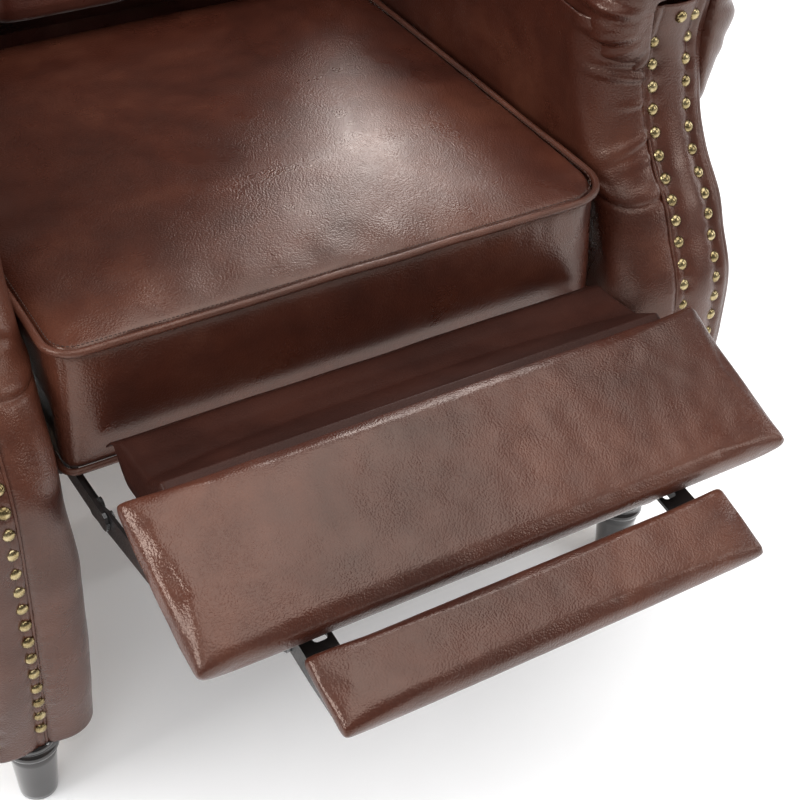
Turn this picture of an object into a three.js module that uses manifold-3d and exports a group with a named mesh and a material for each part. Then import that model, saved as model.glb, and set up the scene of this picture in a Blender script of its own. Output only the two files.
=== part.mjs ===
// Push-back recliner armchair: rolled arms, tufted back, folding two-panel footrest.
// Millimetres, +Z up, the sitter faces -Y, X = 0 is the middle plane.
// Before the last step, Y = 0 is the plane of the seat's front face.
import * as THREE from "three";
import Module from "manifold-3d";

const wasm = await Module();
wasm.setup();

const RAD = Math.PI / 180;

// ---- clearances ----
const TOUCH = 0.3; // gap between pieces that rest against each other
const PLAY = 0.5; // gap between neighbouring steel bars
const PIN_PLAY = 0.3; // pin radius to hole radius

// ---- seat ----
const SEAT_WIDTH = 508;
const SEAT_DEPTH = 478;
const SEAT_TOP = 461; // height of the top welt
const SEAT_CROWN = 20; // rise of the cushion above the welt
const SEAT_BOTTOM = 348; // bottom edge of the front border
const SEAT_BORDER = 30; // thickness of the front border
const SEAT_HOLLOW = 47; // the cushion's underside is this far above the border's bottom edge
const SEAT_CORNER = 44; // plan radius of the front corners
const RAIL_LIFT = 4; // underside of the wooden seat rails above the border's bottom edge
const SEAT_RAIL = 27; // thickness of the wooden seat rails
const SPRING_WIRE = 3.8; // diameter
const SPRING_COUNT = 3;

// ---- arms ----
const ARM_GAP = 14; // seat side to arm, each side
const ARM_INSIDE = SEAT_WIDTH / 2 + ARM_GAP; // inner face, from the middle plane
const ARM_WIDTH = 107;
const ARM_BEHIND = 77; // the arm's rear end behind the seat's
const ARM_PAD = 22; // thickness of the upholstered panels
const ARM_WRAP = 45; // plan radius of the inner front corner
const ROLL_RADIUS = 72;
const ROLL_HEIGHT = 592; // roll axis
const ROLL_SEAT = 61; // the flat panels end this far below the roll's axis
const ROLL_FRONT = 45;
const FACE_RISE = 8; // top of the front face panel above the roll's axis
const POST_FRONT = 110; // front of the wooden front post
const FACE_SPACE = 84; // depth the roll leaves free for the front face panel
const POST_SIZE = 40;
const RAIL_HEIGHT = 34; // wooden base rail
// forward bulge of the arm's front edge: [height, y]
const ARM_FRONT = [
  [66, -17], [93, -20], [150, -28], [200, -32], [250, -34], [300, -36], [345, -35],
  [370, -30], [400, -15], [430, 0], [460, 25], [490, 42], [520, 52], [560, 60], [600, 55],
];
const ARM_STEPS = 18;
const ARM_BEND = 120; // the front bulge fades out between these two depths
const ARM_STRAIGHT = 300;

// ---- nails ----
const NAIL_HEAD = 10.5; // diameter
const NAIL_PITCH = 20;
const NAIL_STRIP = 5; // width of the strip the heads are on
const NAIL_INSET = 6.5; // inner strip to the front face panel's edge; the outer strip is twice as far in

// ---- legs and cross members ----
const LEG_HEIGHT = 75.7;
const LEG_TOP_RADIUS = 24;
const LEG_FOOT_RADIUS = 17.5;
const LEG_INSET = 1.5; // the legs stand this far inside the arm's middle
const LEG_FRONT_Y = 0;
const LEG_REAR_INSET = 30; // rear legs ahead of the arm's rear end
const CROSS_HEIGHT = 45;
const CROSS_THICK = 28;
const CROSS_AHEAD = 225; // the middle cross rail ahead of the arm's rear end
const REAR_PANEL = 14; // thickness of the covered panel low at the rear
const REAR_DROP = 48; // its top edge below the back's pivot, clear of the back's swing

// ---- back ----
const BACK_PROUD = 6; // back wider than the seat, each side
const BACK_TOP = 1050;
const BACK_RAKE = 9; // degrees from upright
const BACK_PIVOT_BEHIND = 52; // behind the seat cushion
const BACK_PIVOT_RISE = 32; // above the seat border's bottom edge
const BACK_CUSHION = 84; // thickness at the middle
const BACK_FOOT = 100; // underside of the cushion above the pivot
const BACK_POST = 34;
const BACK_BOARD = 14; // thickness of the outer back panel

// ---- footrest linkage, in (forward, height) ----
const PIVOT_BACK = 60; // front bars' pivot behind the seat's front
const PIVOT_DROP = 22; // and below the seat border's bottom edge
const BAR_SPACING = 36; // front pivot to rear pivot
const BAR_ANGLE = 23.5; // direction of that spacing, degrees
const BAR_LENGTH = 105;
const BAR_REST = 4.56; // angle of the bars above level, footrest out
const BAR_WIDTH = 16;
const PLATE = 3; // thickness of all linkage steel
const PIN_RADIUS = 3;
const RIVET_RADIUS = 6.5;
const RIVET_HEIGHT = 2;
const LINK_INSET = 1; // side plates' outer face inside the seat's side

// ---- footrest boards ----
const REST_TILT = 19.65; // degrees, front edge down
const REST_PROUD = 5; // footrest wider than the seat, each side
const REST_DEPTH = 147;
const REST_PAD = 24;
const REST_BOARD = 9;
const REST_AHEAD = 107; // rear top edge ahead of the seat's front
const REST_RISE = 68; // and above the seat border's bottom edge
const TIP_TILT = 16.5;
const TIP_WIDTH = 374;
const TIP_DEPTH = 67;
const TIP_PAD = 19;
const TIP_BOARD = 8;
const TIP_AHEAD = 9.9; // tip panel's rear top edge beyond the footrest's front, along the board
const TIP_DROP = 6.6; // and below the footrest's top
const TIP_ARM_INSET = 12; // tip arms inside the tip panel's ends
const TIP_FLANGE = 27; // width of the flange that the tip panel is screwed to
const FLAP_GAP = 22; // flap edge to the side plates
const FLAP_THICK = 4;

// ---- colours ----
const LEATHER = { colour: 0x4a2418, roughness: 0.42, metalness: 0 };
const DARK_LEATHER = { colour: 0x3c1c14, roughness: 0.45, metalness: 0 };
const STEEL = { colour: 0x14120f, roughness: 0.4, metalness: 0.7 };
const BRASS = { colour: 0x8a6f3c, roughness: 0.35, metalness: 0.9 };
const TIMBER = { colour: 0xb08a5a, roughness: 0.7, metalness: 0 };
const ESPRESSO = { colour: 0x120a08, roughness: 0.2, metalness: 0 };
const SPRING_STEEL = { colour: 0x55565a, roughness: 0.4, metalness: 0.8 };

const group = new THREE.Group();
group.name = "recliner_armchair";

function material(look) {
  return new THREE.MeshStandardMaterial({
    color: look.colour,
    roughness: look.roughness,
    metalness: look.metalness,
  });
}

function addNode(name, geometry, look) {
  const mesh = new THREE.Mesh(geometry, material(look));
  mesh.name = name;
  group.add(mesh);
  return mesh;
}

// ---- solids through manifold ----
function toSolid(geometry) {
  const plain = geometry.index ? geometry.toNonIndexed() : geometry;
  const source = plain.attributes.position;
  const seen = new Map();
  const points = [];
  const corners = [];
  for (let i = 0; i < source.count; i += 1) {
    const p = [source.getX(i), source.getY(i), source.getZ(i)];
    const key = p.map((v) => Math.round(v * 1e4)).join(",");
    if (!seen.has(key)) {
      seen.set(key, points.length / 3);
      points.push(p[0], p[1], p[2]);
    }
    corners.push(seen.get(key));
  }
  const faces = [];
  for (let i = 0; i < corners.length; i += 3) {
    const [a, b, c] = [corners[i], corners[i + 1], corners[i + 2]];
    if (a !== b && b !== c && c !== a) {
      faces.push(a, b, c);
    }
  }
  return new wasm.Manifold(new wasm.Mesh({
    numProp: 3,
    vertProperties: new Float32Array(points),
    triVerts: new Uint32Array(faces),
  }));
}

function toGeometry(solid) {
  const mesh = solid.getMesh();
  const count = mesh.vertProperties.length / mesh.numProp;
  const points = new Float32Array(count * 3);
  for (let i = 0; i < count; i += 1) {
    for (let k = 0; k < 3; k += 1) {
      points[i * 3 + k] = mesh.vertProperties[i * mesh.numProp + k];
    }
  }
  const geometry = new THREE.BufferGeometry();
  geometry.setAttribute("position", new THREE.BufferAttribute(points, 3));
  geometry.setIndex(new THREE.BufferAttribute(new Uint32Array(mesh.triVerts), 1));
  geometry.computeVertexNormals();
  return geometry;
}

function union(...geometries) {
  return toGeometry(geometries.map(toSolid).reduce((a, b) => a.add(b)));
}

function cut(geometry, ...tools) {
  return toGeometry(tools.map(toSolid).reduce((a, b) => a.subtract(b), toSolid(geometry)));
}

function keep(geometry, tool) {
  return toGeometry(toSolid(geometry).intersect(toSolid(tool)));
}

// ---- basic shapes ----
function box(x0, x1, y0, y1, z0, z1) {
  const geometry = new THREE.BoxGeometry(Math.abs(x1 - x0), y1 - y0, z1 - z0);
  geometry.translate((x0 + x1) / 2, (y0 + y1) / 2, (z0 + z1) / 2);
  return geometry;
}

function shapeOf(points) {
  return new THREE.Shape(points.map(([a, b]) => new THREE.Vector2(a, b)));
}

// side-view outline in (forward, height), drawn out between two X planes
function sideExtrude(points, x0, x1, holes = []) {
  const shape = shapeOf(points);
  for (const hole of holes) {
    shape.holes.push(shapeOf(hole));
  }
  const geometry = new THREE.ExtrudeGeometry(shape, {
    depth: Math.abs(x1 - x0),
    bevelEnabled: false,
    curveSegments: 6,
  });
  // extrusion (a, b, c) becomes x = c, y = -a, z = b
  const basis = new THREE.Matrix4().makeBasis(
    new THREE.Vector3(0, -1, 0),
    new THREE.Vector3(0, 0, 1),
    new THREE.Vector3(-1, 0, 0),
  );
  geometry.applyMatrix4(basis);
  geometry.translate(Math.max(x0, x1), 0, 0);
  return geometry;
}

function circle(centre, radius, count = 12) {
  const points = [];
  for (let i = 0; i < count; i += 1) {
    const a = (2 * Math.PI * i) / count;
    points.push([centre[0] + radius * Math.cos(a), centre[1] + radius * Math.sin(a)]);
  }
  return points;
}

function arcPoints(centre, radius, from, to, count) {
  const points = [];
  for (let i = 0; i <= count; i += 1) {
    const a = (from + ((to - from) * i) / count) * RAD;
    points.push([centre[0] + radius * Math.cos(a), centre[1] + radius * Math.sin(a)]);
  }
  return points;
}

// flat bar with round ends between two points
function barOutline(a, b, width) {
  const angle = Math.atan2(b[1] - a[1], b[0] - a[0]) / RAD;
  return [
    ...arcPoints(a, width / 2, angle + 90, angle + 270, 5),
    ...arcPoints(b, width / 2, angle - 90, angle + 90, 5),
  ];
}

// round pin along X
function pin(centre, radius, x0, x1) {
  return sideExtrude(circle(centre, radius), x0, x1);
}

// rectangle with rounded corners, centred on the origin
function roundedRect(width, height, radius, steps = 4) {
  const [w, h] = [width / 2 - radius, height / 2 - radius];
  return [
    ...arcPoints([w, h], radius, 0, 90, steps),
    ...arcPoints([-w, h], radius, 90, 180, steps),
    ...arcPoints([-w, -h], radius, 180, 270, steps),
    ...arcPoints([w, -h], radius, 270, 360, steps),
  ];
}

// upholstered panel: rounded in plan, with softened top and bottom edges
function pad(width, depth, thick, corner, edge) {
  const shape = shapeOf(roundedRect(width - 2 * edge, depth - 2 * edge, corner));
  const geometry = new THREE.ExtrudeGeometry(shape, {
    depth: thick - 2 * edge,
    bevelEnabled: true,
    bevelThickness: edge,
    bevelSize: edge,
    bevelSegments: 3,
    curveSegments: 4,
  });
  geometry.translate(0, 0, edge);
  return geometry;
}

// (along, above) on a tilted board to (forward, height)
function onBoard(rear, tilt, [along, above]) {
  const [c, s] = [Math.cos(tilt * RAD), Math.sin(tilt * RAD)];
  return [rear[0] + along * c + above * s, rear[1] - along * s + above * c];
}

// ---- derived sizes ----
const SIDES = [["left", -1], ["right", 1]];
const seatHalf = SEAT_WIDTH / 2;
const seatUnder = SEAT_BOTTOM + SEAT_HOLLOW;
const railBase = SEAT_BOTTOM + RAIL_LIFT;
const armBase = LEG_HEIGHT + TOUCH; // underside of the arm
const armOutside = ARM_INSIDE + ARM_WIDTH;
const armRear = SEAT_DEPTH + ARM_BEHIND;
const armHip = ROLL_HEIGHT - ROLL_SEAT; // top of the flat panels, under the roll
const faceTop = ROLL_HEIGHT + FACE_RISE;
const faceInner = ARM_INSIDE + ARM_WRAP; // edge of the front face panel
const faceOuter = armOutside - 6;
const timberInner = ARM_INSIDE + ARM_PAD + TOUCH;
const timberOuter = armOutside - ARM_PAD - TOUCH;
const rollX = ARM_INSIDE + ROLL_RADIUS - 5;
const legX = ARM_INSIDE + ARM_WIDTH / 2 - LEG_INSET;
const legRearY = armRear - LEG_REAR_INSET;
const backHalf = SEAT_WIDTH / 2 + BACK_PROUD;
const backPivotY = SEAT_DEPTH + BACK_PIVOT_BEHIND;
const backPivotZ = SEAT_BOTTOM + BACK_PIVOT_RISE;
const linkOutside = seatHalf - LINK_INSET; // outer face of the linkage side plates
const flapHalf = linkOutside - FLAP_GAP;
const restWidth = SEAT_WIDTH + 2 * REST_PROUD;
const restRear = [REST_AHEAD, SEAT_BOTTOM + REST_RISE]; // rear top edge, (forward, height)
const restThick = REST_PAD + REST_BOARD;
const restHinge = [REST_DEPTH * 0.408, -restThick - 10]; // carrier pivot: (along, above)
const tipHinge = [REST_DEPTH - 25, -restThick - 25]; // tip panel's pivot: (along, above)
const tipRear = onBoard(restRear, REST_TILT, [REST_DEPTH + TIP_AHEAD, -TIP_DROP]);
const tipArmOut = TIP_WIDTH / 2 - TIP_ARM_INSET;

// ---- arm front curve ----
const frontCurve = new THREE.SplineCurve(
  ARM_FRONT.map(([height, y]) => new THREE.Vector2(height, y)),
);
// every upholstered piece of the arm bends at these same heights
const levels = [];
for (let i = 0; i <= ARM_STEPS; i += 1) {
  levels.push(armBase + ((faceTop - armBase) * i) / ARM_STEPS);
}

function curveAt(height) {
  const [low, high] = [ARM_FRONT[0][0], ARM_FRONT[ARM_FRONT.length - 1][0]];
  const wanted = Math.min(high, Math.max(low, height));
  let [a, b] = [0, 1];
  for (let i = 0; i < 30; i += 1) {
    const t = (a + b) / 2;
    if (frontCurve.getPoint(t).x < wanted) {
      a = t;
    } else {
      b = t;
    }
  }
  return frontCurve.getPoint((a + b) / 2).y;
}
const levelFronts = levels.map(curveAt);

function frontAt(height) {
  const place = ((height - armBase) / (faceTop - armBase)) * ARM_STEPS;
  const i = Math.min(ARM_STEPS - 1, Math.max(0, Math.floor(place)));
  return levelFronts[i] + (levelFronts[i + 1] - levelFronts[i]) * (place - i);
}

// how far the bulge reaches back: all of it near the front, none in the rear half
function bulgeShare(y) {
  return Math.min(1, Math.max(0, (ARM_STRAIGHT - y) / (ARM_STRAIGHT - ARM_BEND)));
}

// plan outline drawn up from z0 to z1 and bent to the arm's front curve
function armPanel(outline, z0, z1) {
  const heights = [z0, ...levels.filter((h) => h > z0 + 1 && h < z1 - 1), z1];
  const steps = heights.length - 1;
  const geometry = new THREE.ExtrudeGeometry(shapeOf(outline), {
    depth: 1,
    steps,
    bevelEnabled: false,
  });
  const position = geometry.attributes.position;
  for (let i = 0; i < position.count; i += 1) {
    const height = heights[Math.round(position.getZ(i) * steps)];
    const y = position.getY(i);
    position.setY(i, y + frontAt(height) * bulgeShare(y));
    position.setZ(i, height);
  }
  geometry.computeVertexNormals();
  return geometry;
}

// outline points mirrored to the chair's other side keep their winding
function sided(outline, side) {
  const mirrored = outline.map(([x, y]) => [side * x, y]);
  return side > 0 ? mirrored : mirrored.reverse();
}

// ---- arms ----
// the base rail starts level with the middle of the inner corner's curve
const baseRailFront = ARM_WRAP + frontAt(armBase);

for (const [label, side] of SIDES) {
  const outerArc = arcPoints([faceInner, ARM_WRAP], ARM_WRAP, 180, 270, 6);
  const innerArc = arcPoints([faceInner, ARM_WRAP], ARM_WRAP - ARM_PAD, 270, 180, 5);
  const inside = [
    [ARM_INSIDE, armRear],
    [ARM_INSIDE, ARM_STRAIGHT],
    [ARM_INSIDE, ARM_BEND],
    ...outerArc,
    ...innerArc,
    [ARM_INSIDE + ARM_PAD, ARM_BEND],
    [ARM_INSIDE + ARM_PAD, ARM_STRAIGHT],
    [ARM_INSIDE + ARM_PAD, armRear],
  ];
  addNode(`arm_inside_panel_${label}`, armPanel(sided(inside, side), armBase, armHip), LEATHER);

  const face = [
    [faceInner + TOUCH, 1.5],
    [faceOuter - TOUCH, 1.5],
    [faceOuter - TOUCH, 20],
    [faceInner + TOUCH, 20],
  ];
  const facePanel = armPanel(sided(face, side), armBase, faceTop);
  addNode(`arm_front_panel_${label}`, facePanel, LEATHER);

  const outside = [
    [faceOuter, 0],
    [armOutside - 2, 1.5],
    [armOutside, 6],
    [armOutside, ARM_BEND],
    [armOutside, ARM_STRAIGHT],
    [armOutside, armRear],
    [armOutside - ARM_PAD, armRear],
    [armOutside - ARM_PAD, ARM_STRAIGHT],
    [armOutside - ARM_PAD, ARM_BEND],
    [armOutside - ARM_PAD, 24],
    [faceOuter, 24],
  ];
  addNode(`arm_outside_panel_${label}`, armPanel(sided(outside, side), armBase, armHip), LEATHER);

  // roll: a cylinder along Y with a flat underside, cut away around the face panel
  const rollShape = shapeOf(circle([side * rollX, ROLL_HEIGHT], ROLL_RADIUS, 28));
  const roll = new THREE.ExtrudeGeometry(rollShape, {
    depth: armRear - ROLL_FRONT - 10,
    bevelEnabled: true,
    bevelThickness: 5,
    bevelSize: 4,
    bevelOffset: -4,
    bevelSegments: 2,
  });
  roll.rotateX(90 * RAD);
  roll.translate(0, armRear - 5, 0);
  const under = box(
    side * (ARM_INSIDE - ROLL_RADIUS),
    side * (armOutside + ROLL_RADIUS),
    0,
    armRear + 50,
    ROLL_HEIGHT - ROLL_RADIUS - 10,
    armHip + TOUCH,
  );
  const notch = box(
    side * faceInner,
    side * faceOuter,
    ROLL_FRONT - 20,
    FACE_SPACE,
    ROLL_HEIGHT - ROLL_RADIUS - 10,
    faceTop + 5,
  );
  addNode(`arm_roll_${label}`, cut(roll, under, notch), LEATHER);

  // timber inside the arm
  const [t0, t1] = [side * timberInner, side * timberOuter];
  const railTop = armBase + RAIL_HEIGHT;
  addNode(
    `arm_front_post_${label}`,
    box(t0, t1, POST_FRONT, POST_FRONT + POST_SIZE, railTop + TOUCH, armHip),
    TIMBER,
  );
  addNode(
    `arm_rear_post_${label}`,
    box(t0, t1, armRear - POST_SIZE, armRear, railTop + TOUCH, armHip),
    TIMBER,
  );
  addNode(
    `arm_base_rail_${label}`,
    box(t0, t1, baseRailFront, armRear, armBase, railTop),
    TIMBER,
  );
  addNode(
    `arm_top_rail_${label}`,
    box(
      t0,
      t1,
      POST_FRONT + POST_SIZE + TOUCH,
      armRear - POST_SIZE - TOUCH,
      armHip - 30,
      armHip,
    ),
    TIMBER,
  );

  // two rows of domed nails on narrow strips that follow the front curve
  const rows = [["inner", faceInner + NAIL_INSET], ["outer", faceOuter - 2 * NAIL_INSET]];
  for (const [row, x] of rows) {
    const strip = armPanel(
      sided([
        [x - NAIL_STRIP / 2, 0.1],
        [x + NAIL_STRIP / 2, 0.1],
        [x + NAIL_STRIP / 2, 1.2],
        [x - NAIL_STRIP / 2, 1.2],
      ], side),
      armBase + 8,
      faceTop - 4,
    );
    const pieces = [strip];
    const count = Math.floor((faceTop - armBase - 24) / NAIL_PITCH);
    for (let i = 0; i <= count; i += 1) {
      const height = armBase + 14 + i * NAIL_PITCH;
      const radius = NAIL_HEAD / 2;
      const profile = [
        [0, 0], [radius, 0], [radius * 0.7, radius * 0.55], [0, radius * 0.8],
      ].map(([r, h]) => new THREE.Vector2(r, h));
      const dome = new THREE.LatheGeometry(profile, 6);
      dome.rotateX(180 * RAD);
      const slope = Math.atan2(frontAt(height + 8) - frontAt(height - 8), 16);
      dome.rotateX(-slope);
      dome.translate(side * x, frontAt(height) + 0.7, height);
      pieces.push(dome);
    }
    const nails = union(...pieces);
    addNode(`arm_nail_trim_${row}_${label}`, nails, BRASS);
  }
}

// ---- legs ----
const legProfile = [
  [0, 0], [LEG_FOOT_RADIUS, 0], [LEG_FOOT_RADIUS + 0.5, 6], [LEG_TOP_RADIUS - 3, LEG_HEIGHT - 22],
  [LEG_TOP_RADIUS - 1, LEG_HEIGHT - 16], [LEG_TOP_RADIUS + 0.5, LEG_HEIGHT - 12],
  [LEG_TOP_RADIUS, LEG_HEIGHT - 8], [LEG_TOP_RADIUS - 2, LEG_HEIGHT - 5],
  [LEG_TOP_RADIUS - 2, LEG_HEIGHT], [0, LEG_HEIGHT],
].map(([r, h]) => new THREE.Vector2(r, h));
for (const [label, side] of SIDES) {
  for (const [place, y] of [["front", LEG_FRONT_Y], ["rear", legRearY]]) {
    const leg = new THREE.LatheGeometry(legProfile, 16);
    leg.rotateX(90 * RAD);
    leg.translate(side * legX, y, 0);
    addNode(`leg_${place}_${label}`, leg, ESPRESSO);
  }
}

// ---- cross members between the arms ----
const crossHalf = ARM_INSIDE - TOUCH;
for (const [place, y] of [["middle", armRear - CROSS_AHEAD], ["rear", armRear - CROSS_THICK]]) {
  addNode(
    `base_cross_rail_${place}`,
    box(-crossHalf, crossHalf, y, y + CROSS_THICK, armBase, armBase + CROSS_HEIGHT),
    TIMBER,
  );
}

addNode(
  "rear_base_panel",
  box(
    -crossHalf,
    crossHalf,
    armRear - REAR_PANEL,
    armRear,
    armBase + CROSS_HEIGHT + TOUCH,
    backPivotZ - REAR_DROP,
  ),
  LEATHER,
);

// ---- seat ----
const seatProfile = [
  [0, SEAT_BOTTOM + 4], [0, SEAT_TOP - 2], [-3, SEAT_TOP + 3], [-14, SEAT_TOP + 8],
  [-SEAT_DEPTH * 0.125, SEAT_TOP + SEAT_CROWN * 0.75], [-SEAT_DEPTH * 0.335, SEAT_TOP + SEAT_CROWN],
  [-SEAT_DEPTH * 0.63, SEAT_TOP + SEAT_CROWN], [-SEAT_DEPTH * 0.84, SEAT_TOP + SEAT_CROWN * 0.7],
  [-SEAT_DEPTH + 6, SEAT_TOP + 4], [-SEAT_DEPTH, SEAT_TOP - 4], [-SEAT_DEPTH, seatUnder],
  [-SEAT_BORDER, seatUnder], [-SEAT_BORDER, SEAT_BOTTOM], [-4, SEAT_BOTTOM],
].reverse();
const seatBlock = sideExtrude(seatProfile, -seatHalf, seatHalf);
const seatPlan = [
  ...arcPoints([seatHalf - SEAT_CORNER, SEAT_CORNER], SEAT_CORNER, -90, 0, 6),
  [seatHalf, SEAT_DEPTH + 5],
  [-seatHalf, SEAT_DEPTH + 5],
  ...arcPoints([-seatHalf + SEAT_CORNER, SEAT_CORNER], SEAT_CORNER, 180, 270, 6),
];
const seatCutter = new THREE.ExtrudeGeometry(shapeOf(seatPlan), {
  depth: SEAT_TOP,
  bevelEnabled: false,
});
seatCutter.translate(0, 0, SEAT_BOTTOM - 50);
addNode("seat_cushion", keep(seatBlock, seatCutter), LEATHER);

const railTopZ = seatUnder - TOUCH;
const sideRailOuter = linkOutside - PLATE - TOUCH;
const railFrontY = SEAT_BORDER + TOUCH;
const railRearY = SEAT_DEPTH - 8;
for (const [label, side] of SIDES) {
  addNode(
    `seat_side_rail_${label}`,
    box(
      side * (sideRailOuter - SEAT_RAIL),
      side * sideRailOuter,
      railFrontY,
      railRearY,
      railBase,
      railTopZ,
    ),
    TIMBER,
  );
}
const betweenRails = sideRailOuter - SEAT_RAIL - TOUCH;
addNode(
  "seat_front_rail",
  box(-betweenRails, betweenRails, railFrontY, railFrontY + SEAT_RAIL, railBase, railTopZ),
  TIMBER,
);
addNode(
  "seat_rear_rail",
  box(-betweenRails, betweenRails, railRearY - SEAT_RAIL, railRearY, railBase, railTopZ),
  TIMBER,
);
// sinuous springs: a wire snaking from the front rail to the rear rail
const springFrom = railFrontY + SEAT_RAIL + TOUCH + SPRING_WIRE / 2;
const springTo = railRearY - SEAT_RAIL - TOUCH - SPRING_WIRE / 2;
for (let n = 0; n < SPRING_COUNT; n += 1) {
  const centreX = (n - (SPRING_COUNT - 1) / 2) * (SEAT_WIDTH / (SPRING_COUNT + 0.6));
  const waves = 11;
  const points = [];
  for (let i = 0; i <= waves; i += 1) {
    const y = springFrom + ((springTo - springFrom) * i) / waves;
    const swing = i === 0 || i === waves ? 0 : (i % 2 ? 22 : -22);
    points.push(new THREE.Vector3(centreX + swing, y, seatUnder - 8));
  }
  const wire = new THREE.CatmullRomCurve3(points);
  const spring = new THREE.ExtrudeGeometry(shapeOf(circle([0, 0], SPRING_WIRE / 2, 6)), {
    steps: 44,
    bevelEnabled: false,
    extrudePath: wire,
  });
  addNode(`seat_spring_${n + 1}`, spring, SPRING_STEEL);
}
// steel tracks on the arms that carry the seat's side rails
for (const [label, side] of SIDES) {
  const flange = box(
    side * (sideRailOuter - SEAT_RAIL),
    side * (ARM_INSIDE - TOUCH),
    POST_FRONT + POST_SIZE + 50,
    SEAT_DEPTH - 8,
    railBase - 0.6 - PLATE,
    railBase - 0.6,
  );
  const wall = box(
    side * (ARM_INSIDE - TOUCH - PLATE),
    side * (ARM_INSIDE - TOUCH),
    POST_FRONT + POST_SIZE + 50,
    SEAT_DEPTH - 8,
    railBase - 2,
    railBase + 34,
  );
  addNode(`seat_track_${label}`, union(flange, wall), STEEL);
}

// ---- footrest linkage ----
const spacing = [
  BAR_SPACING * Math.cos(BAR_ANGLE * RAD),
  BAR_SPACING * Math.sin(BAR_ANGLE * RAD),
];
const reach = [
  BAR_LENGTH * Math.cos(BAR_REST * RAD),
  BAR_LENGTH * Math.sin(BAR_REST * RAD),
];
const frontPivot = [-PIVOT_BACK, SEAT_BOTTOM - PIVOT_DROP];
const rearPivot = [frontPivot[0] - spacing[0], frontPivot[1] - spacing[1]];
const frontEnd = [frontPivot[0] + reach[0], frontPivot[1] + reach[1]];
const rearEnd = [rearPivot[0] + reach[0], rearPivot[1] + reach[1]];

const restPin = onBoard(restRear, REST_TILT, restHinge);
const tipPin = onBoard(restRear, REST_TILT, tipHinge);
const holeRadius = PIN_RADIUS + PIN_PLAY;

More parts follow.
